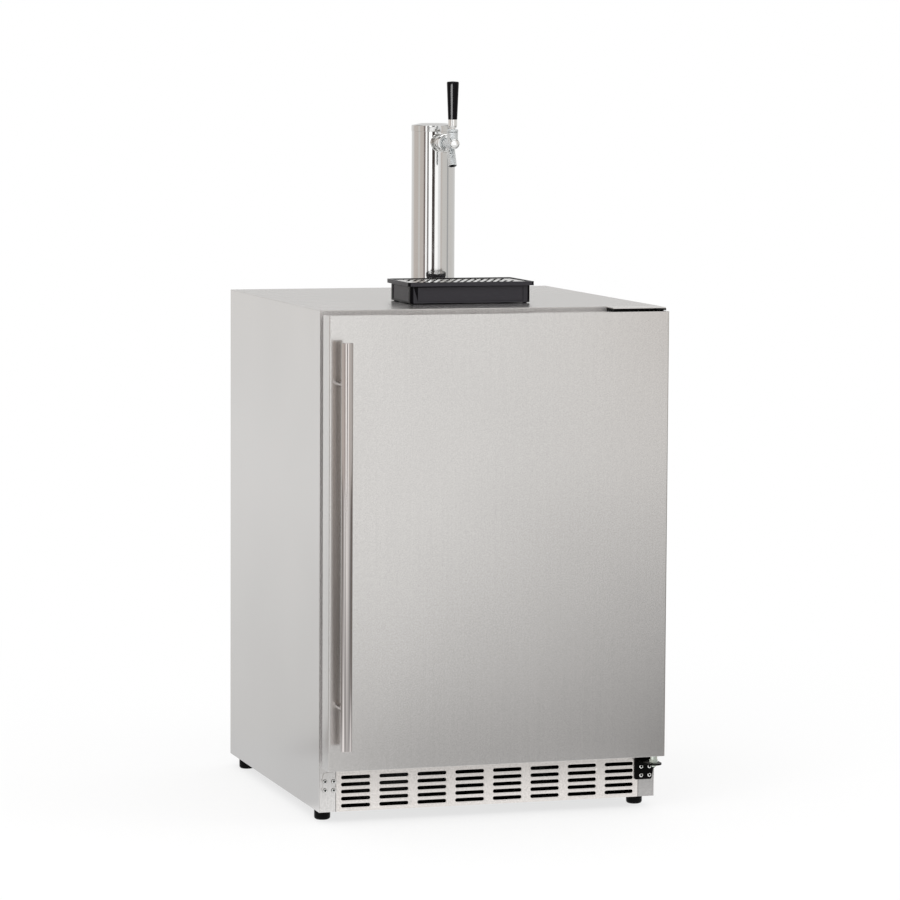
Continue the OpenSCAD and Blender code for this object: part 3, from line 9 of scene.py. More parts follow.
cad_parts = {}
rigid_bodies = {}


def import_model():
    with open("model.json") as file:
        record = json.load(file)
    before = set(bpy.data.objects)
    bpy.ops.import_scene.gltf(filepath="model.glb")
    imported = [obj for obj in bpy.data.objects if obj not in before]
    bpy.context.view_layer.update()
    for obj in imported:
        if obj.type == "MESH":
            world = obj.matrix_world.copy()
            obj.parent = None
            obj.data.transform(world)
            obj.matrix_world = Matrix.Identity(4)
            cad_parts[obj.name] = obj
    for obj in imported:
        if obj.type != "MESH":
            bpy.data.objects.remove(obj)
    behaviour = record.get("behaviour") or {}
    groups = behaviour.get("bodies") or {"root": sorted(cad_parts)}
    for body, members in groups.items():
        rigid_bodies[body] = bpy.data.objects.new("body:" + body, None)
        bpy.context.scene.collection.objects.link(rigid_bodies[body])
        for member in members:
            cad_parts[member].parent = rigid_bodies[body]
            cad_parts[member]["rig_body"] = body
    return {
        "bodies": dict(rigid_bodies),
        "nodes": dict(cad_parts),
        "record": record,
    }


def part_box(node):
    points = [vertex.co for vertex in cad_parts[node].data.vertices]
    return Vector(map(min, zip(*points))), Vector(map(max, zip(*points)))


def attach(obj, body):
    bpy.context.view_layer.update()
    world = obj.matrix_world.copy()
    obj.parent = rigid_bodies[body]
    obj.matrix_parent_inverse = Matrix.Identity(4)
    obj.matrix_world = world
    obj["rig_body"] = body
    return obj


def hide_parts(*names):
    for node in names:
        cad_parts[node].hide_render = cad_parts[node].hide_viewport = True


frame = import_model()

bl_info = {
    "name": "Outdoor kegerator",
    "version": (1, 0, 0),
    "blender": (4, 5, 0),
    "location": "3D View > Sidebar > Kegerator",
    "description": "Steel finishes, rounded edges, fittings and a pale studio for the kegerator",
    "category": "Object",
}

# Objects that are not of the frame, such as a start-up cube, leave first
for stray in [o for o in bpy.data.objects
              if o not in frame["nodes"].values() and o not in frame["bodies"].values()]:
    bpy.data.objects.remove(stray)
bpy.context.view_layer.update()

MM = 0.001
# Corners nearer than this are one, and faces that turn less than this many degrees are one flat
WELD = 2e-6
FLAT_TURN = 0.4
# Screw heads: the hex socket, from under its lip to its floor, and the head's rim, which bound the painted
# shade in each socket and in a ring past the head
SOCKET_RADIUS = 2.1 * MM
SOCKET_LIP = 0.3 * MM
SOCKET_DEPTH = 1.6 * MM
HEAD_RIM = 3.4 * MM
# How far the door's face is in front of the middle, and the gap between the kick grille and a post
DOOR_FACE = -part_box("door_skin")[0].y
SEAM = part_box("corner_post_right")[0].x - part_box("kick_grille")[1].x

# The Mix node's sockets in its colour mode, by number
MIX_SHARE, MIX_A, MIX_B, MIX_RESULT = 0, 6, 7, 2

# Noise scales along x, y and z; the low one is the way that the brushing or polishing runs
BRUSHED_UPRIGHT, BRUSHED_ACROSS = (420.0, 420.0, 3.0), (3.0, 420.0, 420.0)
BAR_LINES, TOWER_LINES = (500.0, 500.0, 5.0), (600.0, 600.0, 4.0)
DRAIN_LINES, EVEN_LINES = (5.0, 500.0, 500.0), (90.0, 90.0, 90.0)
SCUFFS = (60.0, 60.0, 260.0)

# Studio: lamps by name, place, share of the key light's power and size in metres
LAMPS = (("key_lamp", (-2.6, -3.2, 3.4), 1.0, 2.6), ("fill_lamp", (3.4, -2.4, 2.4), 0.4, 2.2))
LAMP_AIM = Vector((0, 0, 0.6))
CARD_SIZE = (0.10, 0.075)
CARD_DISTANCE = 0.15
CARD_WAY = Vector((-0.632, -0.775, -0.087))
# Heights on the unit sphere between which one part of the room gives way to the next
FLOOR_EDGE, CEILING_EDGE, PANEL_EDGE = (-0.075, -0.062), (0.5, 0.62), (0.78, 0.84)


# Shader maths

class Value:
    """A node socket in a shader: sums with numbers or other values add Math nodes."""

    def __init__(self, finish, socket):
        self.finish = finish
        self.socket = socket

    def math(self, operation, *terms):
        return self.finish.add("ShaderNodeMath", {"operation": operation}, dict(enumerate(terms)))

    def __add__(self, other):
        return self.math("ADD", self, other)

    def __radd__(self, other):
        return self.math("ADD", other, self)

    def __sub__(self, other):
        return self.math("SUBTRACT", self, other)

    def __rsub__(self, other):
        return self.math("SUBTRACT", other, self)

    def __mul__(self, other):
        return self.math("MULTIPLY", self, other)

    def __rmul__(self, other):
        return self.math("MULTIPLY", other, self)

    def __truediv__(self, other):
        return self.math("DIVIDE", self, other)

    def __pow__(self, other):
        return self.math("POWER", self, other)

    def __gt__(self, other):
        return self.math("GREATER_THAN", self, other)

    def low(self, other):
        """The lower of the two."""
        return self.math("MINIMUM", self, other)

    def high(self, other):
        """The higher of the two."""
        return self.math("MAXIMUM", self, other)


class Finish:
    """The node tree of a material or of the world."""

    def __init__(self, tree):
        self.tree = tree

    def add(self, kind, options=None, sockets=None, output=0):
        """Adds a node: its settings are set first, then the values or links of its sockets."""
        node = self.tree.nodes.new(kind)
        for key, value in (options or {}).items():
            if key == "stops":
                self.set_stops(node.color_ramp, value)
            else:
                setattr(node, key, value)
        for key, value in (sockets or {}).items():
            self.join(node.inputs[key], value)
        return Value(self, node.outputs[output])

    def join(self, socket, value):
        """Links a value to a socket, or sets a number, vector or colour on it."""
        if isinstance(value, Value):
            self.tree.links.new(value.socket, socket)
        elif hasattr(value, "__len__") and len(value) == 3 and socket.type == "RGBA":
            socket.default_value = (*value, 1)
        else:
            socket.default_value = value

    @staticmethod
    def set_stops(ramp, stops):
        """Gives a colour ramp its stops, each a place and a grey level or a colour."""
        while len(ramp.elements) < len(stops):
            ramp.elements.new(1)
        for element, (place, colour) in zip(ramp.elements, stops):
            element.position = place
            element.color = (*colour, 1) if hasattr(colour, "__len__") else (colour, colour, colour, 1)

    def place(self):
        """The place on the object, in metres of the shared frame."""
        return self.add("ShaderNodeTexCoord", output="Object")

    def axes(self, vector):
        """The three parts of a vector."""
        node = self.add("ShaderNodeSeparateXYZ", sockets={"Vector": vector}).socket.node
        return [Value(self, socket) for socket in node.outputs]

    def stretched(self, vector, scale):
        """A vector times a different number along each axis."""
        return self.add("ShaderNodeVectorMath", {"operation": "MULTIPLY"}, {0: vector, 1: scale})

    def noise(self, vector, scale=1.0, detail=2.0, roughness=0.5):
        """Soft noise about 0.5."""
        return self.add("ShaderNodeTexNoise", sockets={
            "Vector": vector, "Scale": scale, "Detail": detail, "Roughness": roughness})

    def spread(self, value, low, high, to_low=0.0, to_high=1.0):
        """A value carried from one range to another, and held inside it."""
        return self.add("ShaderNodeMapRange", {"clamp": True}, {
            "Value": value, "From Min": low, "From Max": high, "To Min": to_low, "To Max": to_high})

    def around(self, x, y, bands, yaw):
        """Tones by bearing, given as (degrees to the right of the camera, tone)."""
        bearing = x.math("ARCTAN2", x, 0 - y) / (2 * pi) + 0.5
        stops = sorted((((angle - degrees(yaw)) / 360 + 0.5) % 1, tone) for angle, tone in bands)
        return self.add("ShaderNodeValToRGB", {"stops": stops}, {0: bearing})

    def blend(self, share, colour_a, colour_b):
        """Colour a, changing to colour b as the share goes to 1."""
        return self.add("ShaderNodeMix", {"data_type": "RGBA"},
                        {MIX_SHARE: share, MIX_A: colour_a, MIX_B: colour_b}, MIX_RESULT)


class Surface(Finish):
    """A material with one Principled shader."""

    def __init__(self, name, **constants):
        self.material = bpy.data.materials.new(name)
        self.material.use_nodes = True
        super().__init__(self.material.node_tree)
        self.shader = self.tree.nodes["Principled BSDF"]
        for socket, value in constants.items():
            self.join(self.shader.inputs[socket.replace("_", " ")], value)

    def feed(self, socket, value):
        """Gives one of the shader's sockets a value or a link."""
        self.join(self.shader.inputs[socket], value)
        return self

    def bump(self, height, depth, strength=1.0):
        """Lets a height of 0 to 1 stand for that many metres of relief."""
        return self.feed("Normal", self.add("ShaderNodeBump", sockets={
            "Height": height, "Distance": depth, "Strength": strength}))


def darker(colour, share):
    """A colour times a number."""
    return [part * share for part in colour]


# Finishes

def satin_steel(name, colour, grain, roughness):
    """Brushed stainless sheet: fine streaks along one axis, a faint speckle and slow unevenness."""
    s = Surface(name, Metallic=1.0)
    place = s.place()
    streaks = s.noise(s.stretched(place, grain), detail=3.0, roughness=0.65)
    speckle = s.noise(place, 760.0, detail=1.0)
    clouds = s.noise(place, 3.5, detail=2.0)
    tone = s.spread(streaks * 0.1 + speckle * 0.75 + clouds * 0.15, 0.35, 0.65)
    s.feed("Base Color", s.blend(tone, darker(colour, 0.88), darker(colour, 1.12)))
    s.feed("Roughness", roughness - 0.02 + streaks * 0.02 + clouds * 0.02)
    s.bump(streaks * 0.2 + speckle * 0.8, 0.00002, 0.2)
    return s.material


def mirror_steel(name, colour, grain, roughness):
    """Polished steel or chrome with hair-fine polishing lines and a few dull patches."""
    s = Surface(name, Metallic=1.0)
    place = s.place()
    lines = s.noise(s.stretched(place, grain), detail=2.0, roughness=0.6)
    patches = s.noise(place, 45.0, detail=3.0)
    s.feed("Base Color", s.blend(s.spread(lines, 0.35, 0.65), darker(colour, 0.97), colour))
    s.feed("Roughness", roughness + s.spread(patches, 0.45, 0.75) * 0.04 + lines * 0.02)
    s.bump(lines, 0.000004, 0.15)
    return s.material


def zinc_sheet(name, colour, grain_size, roughness):
    """Galvanised sheet: crystal patches that differ in tone and gloss."""
    s = Surface(name, Metallic=1.0)
    place = s.place()
    warp = s.noise(place, grain_size * 0.8, detail=2.0)
    cells = s.add("ShaderNodeTexVoronoi", {"feature": "F1"}, {"Vector": place, "Scale": grain_size},
                  "Color")
    tone = s.axes(cells)[0] * 0.7 + warp * 0.3
    s.feed("Base Color", s.blend(tone, darker(colour, 0.9), darker(colour, 1.08)))
    s.feed("Roughness", roughness - 0.03 + tone * 0.06)
    s.bump(tone, 0.000004, 0.1)
    return s.material


def plated(name, colour, roughness):
    """Bright zinc plating on screws and pins, darker and duller in a fine random mottle."""
    s = Surface(name, Metallic=1.0)
    place = s.place()
    mottle = s.noise(place, 900.0, detail=2.0)
    s.feed("Base Color", s.blend(s.spread(mottle, 0.3, 0.7), darker(colour, 0.88), colour))
    s.feed("Roughness", roughness + mottle * 0.12)
    s.bump(mottle, 0.00003, 0.3)
    return s.material


def moulded(name, colour, roughness, grain, relief, scuff, gloss=0.5):
    """Moulded plastic or paint: a fine grain with its relief in metres, faint scuffs and dust."""
    s = Surface(name, Specular_IOR_Level=gloss)
    place = s.place()
    skin = s.noise(place, grain, detail=1.0)
    scuffs = s.spread(s.noise(s.stretched(place, SCUFFS), detail=4.0, roughness=0.7), 0.52, 0.8)
    clouds = s.noise(place, 9.0, detail=2.0)
    lighter = [part + (1 - part) * scuff for part in colour]
    s.feed("Base Color", s.blend(scuffs * 0.5 + clouds * 0.3, colour, lighter))
    s.feed("Roughness", roughness + scuffs * 0.08 + skin * 0.03)
    s.bump(skin, relief, 0.3)
    return s.material


def satin_chrome(name, colour, roughness):
    """Satin chrome over a casting: blasted skin with a faint orange peel."""
    s = Surface(name, Metallic=1.0)
    place = s.place()
    peel = s.noise(place, 260.0, detail=2.0)
    grit = s.noise(place, 1500.0, detail=1.0)
    s.feed("Base Color", s.blend(s.spread(peel, 0.3, 0.7), darker(colour, 0.96), colour))
    s.feed("Roughness", roughness - 0.03 + grit * 0.06)
    s.bump(peel * 0.6 + grit * 0.4, 0.00003, 0.3)
    return s.material


def foam(name, colour):
    """Rigid foam with closed cells."""
    s = Surface(name, Roughness=0.95)
    place = s.place()
    cells = s.add("ShaderNodeTexVoronoi", {"feature": "F1"}, {"Vector": place, "Scale": 420.0},
                  "Distance")
    clouds = s.noise(place, 7.0, detail=3.0)
    s.feed("Base Color", s.blend(cells * 0.6 + clouds * 0.4, darker(colour, 0.85), colour))
    s.bump(cells, 0.0006, 0.6)
    return s.material


def copper_tube(name, colour):
    """Copper that is browned in patches."""
    s = Surface(name, Metallic=1.0)
    place = s.place()
    patches = s.spread(s.noise(place, 38.0, detail=4.0, roughness=0.6), 0.4, 0.65)
    s.feed("Base Color", s.blend(patches, colour, darker(colour, 0.5)))
    s.feed("Roughness", 0.25 + patches * 0.25)
    s.bump(patches, 0.00004, 0.3)
    return s.material


# Pieces

def body_of(node):
    """The body that a CAD node rides on."""
    return frame["nodes"][node]["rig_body"]


def coat(node, material):
    """Gives a CAD node that stays in view its finish."""
    mesh = frame["nodes"][node].data
    mesh.materials.clear()
    mesh.materials.append(material)


def settle(piece, material, node, replaced=()):
    """Puts the finish on a piece, lets it ride on the body of its CAD node, and hides the nodes that it
    replaces.
    """
    piece.data.materials.clear()
    piece.data.materials.append(material)
    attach(piece, body_of(node))
    if replaced:
        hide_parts(*replaced)
    return piece


def new_piece(name, mesh):
    """Links a mesh to the scene as a piece."""
    piece = bpy.data.objects.new(name, mesh)
    bpy.context.scene.collection.objects.link(piece)
    return piece


def apply_modifiers(piece):
    """Turns what the modifiers make into the piece's own mesh."""
    bpy.context.view_layer.update()
    graph = bpy.context.evaluated_depsgraph_get()
    made = bpy.data.meshes.new_from_object(piece.evaluated_get(graph))
    piece.modifiers.clear()
    piece.data = made
    made.name = piece.name
    return piece


def shade(mesh, turn=35):
    """Smooth shading, broken at edges that turn by more than that many degrees."""
    mesh.polygons.foreach_set("use_smooth", [True] * len(mesh.polygons))
    mesh.set_sharp_from_angle(angle=radians(turn))


def rounded(name, node, material, width, segments=2, turn=30):
    """A node's form again in place of the node, with its sharp edges rounded by a width in millimetres."""
    mesh = bpy.data.meshes.new(name)
    work = bmesh.new()
    work.from_mesh(frame["nodes"][node].data)
    bmesh.ops.remove_doubles(work, verts=work.verts, dist=WELD)
    bmesh.ops.dissolve_limit(work, angle_limit=radians(FLAT_TURN), verts=work.verts, edges=work.edges)
    bmesh.ops.recalc_face_normals(work, faces=work.faces)
    work.to_mesh(mesh)
    work.free()
    shade(mesh, turn)
    piece = new_piece(name, mesh)
    bevel = piece.modifiers.new("Rounded edges", "BEVEL")
    bevel.width = width * MM
    bevel.segments = segments
    bevel.limit_method = "ANGLE"
    bevel.angle_limit = radians(turn)
    bevel.use_clamp_overlap = True
    bevel.harden_normals = True
    apply_modifiers(piece)
    return settle(piece, material, node, [node])


def refinish(piece, coating, chosen):
    """Gives the chosen faces of a piece another finish."""
    piece.data.materials.append(finish(coating))
    for face in piece.data.polygons:
        if chosen(face):
            face.material_index = len(piece.data.materials) - 1


def darken(piece, hollow):
    """Gives the faces whose middle is in a hollow a near-black finish: painted shade where the hollow lies
    in shadow.
    """
    refinish(piece, "recess", lambda face: hollow(face.center))


def shells(mesh):
    """The corners of each separate shell of a mesh."""
    work = bmesh.new()
    work.from_mesh(mesh)
    left = set(work.verts)
    found = []
    while left:
        queue = [left.pop()]
        shell = []
        while queue:
            corner = queue.pop()
            shell.append(corner.co.copy())
            for edge in corner.link_edges:
                other = edge.other_vert(corner)
                if other in left:
                    left.remove(other)
                    queue.append(other)
        found.append(shell)
    work.free()
    return found


def darken_sockets(piece, axis, sign):
    """Paints shade into each screw's hex socket and onto a ring past its head, in place of the shade there
    and the contact shadow; the heads face along the signed axis.
    """
    across = [i for i in range(3) if i != axis]
    tops = []
    for shell in shells(piece.data):
        centre = [(max(c[i] for c in shell) + min(c[i] for c in shell)) / 2 for i in across]
        tops.append((centre, max(c[axis] * sign for c in shell)))

    def hollow(point):
        for centre, top in tops:
            aside = hypot(point[across[0]] - centre[0], point[across[1]] - centre[1])
            depth = top - point[axis] * sign
            if aside < SOCKET_RADIUS and SOCKET_LIP < depth < SOCKET_DEPTH:
                return True
            if HEAD_RIM < aside < 2 * HEAD_RIM and depth > SOCKET_LIP:
                return True
        return False

    darken(piece, hollow)


def turned(name, profile, centre, axis="Z", steps=96):
    """A turned mesh from a closed loop of (radius, height) in metres, about an axis through a point."""
    work = bmesh.new()
    rings = []
    for radius, height in profile:
        if radius == 0:
            rings.append([work.verts.new((0, 0, height))])
        else:
            turns = [2 * pi * i / steps for i in range(steps)]
            rings.append([work.verts.new((radius * cos(t), radius * sin(t), height)) for t in turns])
    for ring_a, ring_b in zip(rings, rings[1:] + rings[:1]):
        if len(ring_a) == 1 and len(ring_b) == 1:
            continue
        for i in range(steps):
            corners = [ring_a[i % len(ring_a)], ring_a[(i + 1) % len(ring_a)],
                       ring_b[(i + 1) % len(ring_b)], ring_b[i % len(ring_b)]]
            work.faces.new(list(dict.fromkeys(corners)))
    bmesh.ops.recalc_face_normals(work, faces=work.faces)
    turn = {"Z": Matrix.Identity(4), "Y": Matrix.Rotation(radians(-90), 4, "X"),
            "X": Matrix.Rotation(radians(90), 4, "Y")}[axis]
    work.transform(Matrix.Translation(centre) @ turn)
    mesh = bpy.data.meshes.new(name)
    work.to_mesh(mesh)
    work.free()
    shade(mesh)
    return new_piece(name, mesh)


def arc(centre, radius, start, end, steps=5):
    """Points of an arc, in degrees, about a (radius, height) centre."""
    turns = [radians(start + (end - start) * i / steps) for i in range(steps + 1)]
    return [(centre[0] + radius * cos(t), centre[1] + radius * sin(t)) for t in turns]


def middle(node):
    """The middle of a node's box."""
    low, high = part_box(node)
    return (low + high) / 2


# Settings

class StudioSettings(bpy.types.PropertyGroup):
    """Camera and light."""
    place: FloatVectorProperty(
        name="Camera", description="Where the camera stands", subtype="XYZ", unit="LENGTH",
        default=(-2.107, -6.8164, 1.300))
    lens: FloatProperty(name="Lens", description="Focal length on a 36 mm sensor", default=163.64,
                        unit="CAMERA")
    yaw: FloatProperty(name="Yaw", description="Turn of the view to the right", default=radians(17.225),
                       subtype="ANGLE")
    pitch: FloatProperty(name="Pitch", description="Tilt of the view down", default=radians(5.577),
                         subtype="ANGLE")
    roll: FloatProperty(name="Roll", description="Turn of the camera about its view",
                        default=radians(0.324), subtype="ANGLE")
    floor: FloatProperty(name="Floor", description="Radius of the pale floor", default=7.5, unit="LENGTH")
    ambient: FloatProperty(name="Room light", description="Strength of the even light", default=0.95)
    key: FloatProperty(name="Key light", description="Power of the large soft lamp", default=60.0,
                       unit="POWER")
    card: FloatProperty(name="Card", description="Power of the small card beside the grip", default=0.8,
                        unit="POWER")


class SteelSettings(bpy.types.PropertyGroup):
    """Finishes of the metal."""
    sheet: FloatVectorProperty(name="Sheet", description="Colour of the satin steel", subtype="COLOR",
                               default=(0.63, 0.614, 0.598), min=0, max=1)
    sheet_roughness: FloatProperty(name="Sheet roughness", description="Roughness of the satin steel",
                                   default=0.18, min=0, max=1, subtype="FACTOR")
    polished: FloatVectorProperty(name="Polished", description="Colour of the tower", subtype="COLOR",
                                  default=(0.660, 0.659, 0.653), min=0, max=1)
    chrome: FloatVectorProperty(name="Chrome", description="Colour of the tap", subtype="COLOR",
                                default=(0.78, 0.78, 0.77), min=0, max=1)
    edge: FloatProperty(name="Edge", description="Rounding of the sheet edges", default=0.4 * MM,
                        unit="LENGTH")


class PlasticSettings(bpy.types.PropertyGroup):
    """Finishes of the plastic and rubber."""
    black: FloatVectorProperty(name="Black", description="Colour of the tray and tap handle",
                               subtype="COLOR", default=(0.007, 0.005, 0.010), min=0, max=1)
    white: FloatVectorProperty(name="White", description="Colour of the inner panels", subtype="COLOR",
                               default=(0.80, 0.80, 0.78), min=0, max=1)


GROUPS = {
    "kegerator_studio": StudioSettings,
    "kegerator_steel": SteelSettings,
    "kegerator_plastic": PlasticSettings,
}


def settings(name):
    """One group of the scene's settings."""
    return getattr(bpy.context.scene, "kegerator_" + name)


made_finishes = {}


def finish(name):
    """A finish by its name, made when it is first asked for."""
    if name in made_finishes:
        return made_finishes[name]
    steel = settings("steel")
    plastic = settings("plastic")
    sheet = tuple(steel.sheet)
    rough = steel.sheet_roughness
    black = tuple(plastic.black)
    # After the maker: colour, grain and roughness for steel; for moulded pieces colour, roughness, grain,
    # relief, scuff and gloss
    recipes = {
        "steel_upright": (satin_steel, sheet, BRUSHED_UPRIGHT, rough),
        "steel_across": (satin_steel, sheet, BRUSHED_ACROSS, rough),
        "steel_top": (satin_steel, sheet, BRUSHED_ACROSS, rough * 1.5),
        "grille_steel": (satin_steel, (0.70, 0.665, 0.635), BRUSHED_ACROSS, 0.24),
        "frame_steel": (satin_steel, (0.74, 0.72, 0.71), BRUSHED_UPRIGHT, 0.6),
        # shaded_steel: the sheet steel darkened, painted shade for the right corner post
        "shaded_steel": (satin_steel, darker(sheet, 0.62), BRUSHED_UPRIGHT, rough),
        "bar_steel": (mirror_steel, (0.55, 0.515, 0.50), BAR_LINES, 0.07),
        "tower_steel": (mirror_steel, tuple(steel.polished), TOWER_LINES, 0.05),
        "tap_chrome": (mirror_steel, tuple(steel.chrome), EVEN_LINES, 0.06),
        "drain_steel": (mirror_steel, (0.78, 0.78, 0.77), DRAIN_LINES, 0.2),
        "pin_zinc": (mirror_steel, (0.70, 0.76, 0.68), EVEN_LINES, 0.12),
        "tap_satin": (satin_chrome, (0.80, 0.83, 0.84), 0.55),
        "galvanised": (zinc_sheet, (0.50, 0.51, 0.52), 70.0, 0.45),
        "bright_zinc": (plated, (0.95, 0.95, 0.92), 0.22),
        # recess: near black, painted where shade falls in seams, screw sockets and the spout's bore
        "recess": (moulded, (0.004, 0.004, 0.004), 0.7, 700.0, 0.00002, 0.01, 0.1),
        "black_paint": (moulded, (0.002, 0.002, 0.002), 0.25, 500.0, 0.00003, 0.002, 0.04),
        "tray_black": (moulded, darker(black, 0.2), 0.1, 900.0, 0.000002, 0.001, 0.06),
        "grip_black": (moulded, darker(black, 0.2), 0.12, 900.0, 0.000002, 0.001, 0.1),
        "tray_grained": (moulded, (0.020, 0.018, 0.024), 0.42, 1300.0, 0.00006, 0.02, 0.4),
        "matte_black": (moulded, (0.003, 0.003, 0.003), 0.4, 1600.0, 0.00005, 0.004, 0.05),
        "rubber": (moulded, (0.006, 0.006, 0.007), 0.6, 1100.0, 0.00006, 0.01, 0.08),
        "gasket_grey": (moulded, (0.22, 0.21, 0.21), 0.5, 1100.0, 0.00004, 0.05, 0.3),
        "white_panel": (moulded, tuple(plastic.white), 0.38, 260.0, 0.00006, 0.3),
        "foam": (foam, (0.78, 0.68, 0.42)),
        "copper": (copper_tube, (0.66, 0.34, 0.20)),
    }
    maker, *values = recipes[name]
    made_finishes[name] = maker(name, *values)
    return made_finishes[name]


def floor_bands(line, side, back):
    """Tones of the far floor by bearing: dim to both sides, with two bright lines that round bars show."""
    dim, grey = (side * 1.1, side, side * 0.94), (0.7, 0.7, 0.7)
    return [(-180, back), (-121, back), (-115, dim), (-84, dim), (-76, grey), (-56, grey), (-50, line),
            (-34, line), (-26, grey), (-18, grey), (-12, line), (4, line), (14, 1), (44, 1), (52, grey),
            (70, grey), (77, dim), (118, dim), (126, back), (179, back)]


# Operators, in the order in which they run

class KEGERATOR_OT_stage(bpy.types.Operator):
    """Camera, world, floor and lamps"""
    bl_idname = "kegerator.stage"
    bl_label = "Studio"

    def execute(self, context):
        studio = settings("studio")
        scene = context.scene
        scene.view_settings.view_transform = "Standard"
        self.set_camera(scene, studio)
        self.set_world(scene, studio)
        self.set_floor(studio)
        self.set_lamps(scene, studio)
        return {"FINISHED"}

    @staticmethod
    def set_camera(scene, studio):
        """A camera that looks along the photograph's view."""
        data = bpy.data.cameras.new("camera")
        data.lens = studio.lens
        data.sensor_width = 36.0
        data.clip_end = 200.0
        camera = bpy.data.objects.new("camera", data)
        scene.collection.objects.link(camera)
        ahead = Vector((sin(studio.yaw) * cos(studio.pitch), cos(studio.yaw) * cos(studio.pitch),
                        -sin(studio.pitch)))
        right = Vector((cos(studio.yaw), -sin(studio.yaw), 0))
        up = right.cross(ahead)
        c, s = cos(studio.roll), sin(studio.roll)
        side, head = c * right + s * up, c * up - s * right
        turn = Matrix((side, head, -ahead)).transposed().to_4x4()
        camera.matrix_world = Matrix.Translation(studio.place) @ turn
        scene.camera = camera

    @staticmethod
    def set_world(scene, studio):
        """Even pale light; polished metal sees soft boxes and the dark gaps between them."""
        world = bpy.data.worlds.new("room")
        scene.world = world
        world.use_nodes = True
        w = Finish(world.node_tree)
        x, y, z = w.axes(w.add("ShaderNodeTexCoord", output="Generated"))
        dark, gap, box, lamp = (0.07, 0.055, 0.05), (0.26, 0.21, 0.2), 1.5, 2.0
        wood = (0.72, 0.655, 0.61)
        wall, bright_wall, rear_wall = (0.80, 0.78, 0.75), (0.87, 0.86, 0.85), (0.79, 0.785, 0.78)
        # Bearings in degrees to the right of the camera, where each tone begins
        bands = [(-180, rear_wall), (-157, bright_wall), (-134, bright_wall), (-118, wood), (-88, wood),
                 (-84, wall), (-78, wall), (-72, wood), (-53, wood), (-50, gap), (-42.5, gap), (-41, box),
                 (-33, box), (-31.5, gap), (-25, 0.35), (-21.5, box), (-19, lamp), (-14, lamp), (-7, box),
                 (-5, dark), (7, dark), (10, box), (24, box), (29, 1.06), (38, 1.06), (42, wood),
                 (55, wall), (78, wall), (81, 0.5), (88, 0.5), (91, wall), (179, rear_wall)]
        strips = w.around(x, y, bands, studio.yaw)
        below = w.around(x, y, floor_bands(line=1.1, side=0.3, back=0.88), studio.yaw)
        strips = w.blend(w.spread(z, *FLOOR_EDGE), below, strips)
        overhead = w.blend(w.spread(z, *PANEL_EDGE), (0.1, 0.1, 0.1), (1.7, 1.7, 1.7))
        strips = w.blend(w.spread(z, *CEILING_EDGE), strips, overhead)
        rays = w.add("ShaderNodeLightPath").socket.node.outputs
        glossy = Value(w, rays["Is Glossy Ray"]).high(Value(w, rays["Is Transmission Ray"]))
        level = studio.ambient
        seen = w.blend(glossy, (level, level, level), strips)
        seen = w.blend(Value(w, rays["Is Camera Ray"]), seen, (1, 1, 1))
        w.join(w.tree.nodes["Background"].inputs["Color"], seen)

    @staticmethod
    def set_floor(studio):
        """A pale floor that keeps the shadow, and that metal sees darker a step in front of the door."""
        bpy.ops.mesh.primitive_circle_add(vertices=96, radius=studio.floor, fill_type="NGON")
        floor = bpy.context.active_object
        floor.name = "floor"
        s = Surface("floor_paint", Roughness=0.9)
        s.feed("Base Color", (0.97, 0.97, 0.97))
        x, y, _ = s.axes(s.place())
        ahead = 0 - y - DOOR_FACE
        # What steel sees of the floor: tone by distance in front of the door
        near = [(-0.25, 0.74), (-0.15, 1.12), (0.2, 1.12), (0.45, 0.50), (0.73, 0.53), (1.12, 0.60),
                (1.56, 0.68), (2.04, 0.755), (2.6, 0.83), (3.9, 0.92), (5.5, 0.97), (7.0, 0.98)]
        reach = studio.floor + 1
        front = s.add("ShaderNodeValToRGB", {"stops": [((d + 1) / reach, tone) for d, tone in near]},
                      {0: (ahead + 1) / reach})
        # It is paler to the rear, and a little darker to the right in front of the door
        rear = s.spread(y, 0.0, 5.0, 0.0, 0.15)
        view_slope, half_door, fall = 0.31, 0.35, 0.5
        slant = (x - ahead * view_slope).low(half_door).high(-half_door)
        tilt = slant * fall * s.spread(ahead, 2.5, 5.0, 1.0, 0.0) * (ahead > half_door)
        tone = (s.axes(front)[0] + rear) * (1 - tilt)
        ring = s.around(x, y, floor_bands(line=1.3, side=0.34, back=1.0), studio.yaw)
        away = (x * x + y * y) ** 0.5
        ring = s.blend(s.spread(away, 0.6, 0.9), (0.985, 0.99, 1.0), ring)
        seen = s.add("ShaderNodeEmission", sockets={"Color": ring, "Strength": tone})
        rays = s.add("ShaderNodeLightPath").socket.node.outputs
        far = s.spread(away, 0.6, 2.0, 0.74, 1.0)
        paper = s.add("ShaderNodeMixShader", sockets={
            0: far, 1: Value(s, s.shader.outputs[0]), 2: s.add("ShaderNodeEmission")})
        shown = s.add("ShaderNodeMixShader", sockets={
            0: Value(s, rays["Is Glossy Ray"]), 1: paper, 2: seen})
        s.join(s.tree.nodes["Material Output"].inputs["Surface"], shown)
        floor.data.materials.append(s.material)

    @staticmethod
    def set_lamps(scene, studio):
        """A large soft lamp from the front left and above, a weaker one from the right, and a card."""
        for name, place, share, size in LAMPS:
            data = bpy.data.lights.new(name, "AREA")
            data.energy = studio.key * share
            data.size = size
            lamp = bpy.data.objects.new(name, data)
            lamp.visible_glossy = False
            scene.collection.objects.link(lamp)
            lamp.location = place
            lamp.rotation_euler = (LAMP_AIM - Vector(place)).to_track_quat("-Z", "Y").to_euler()
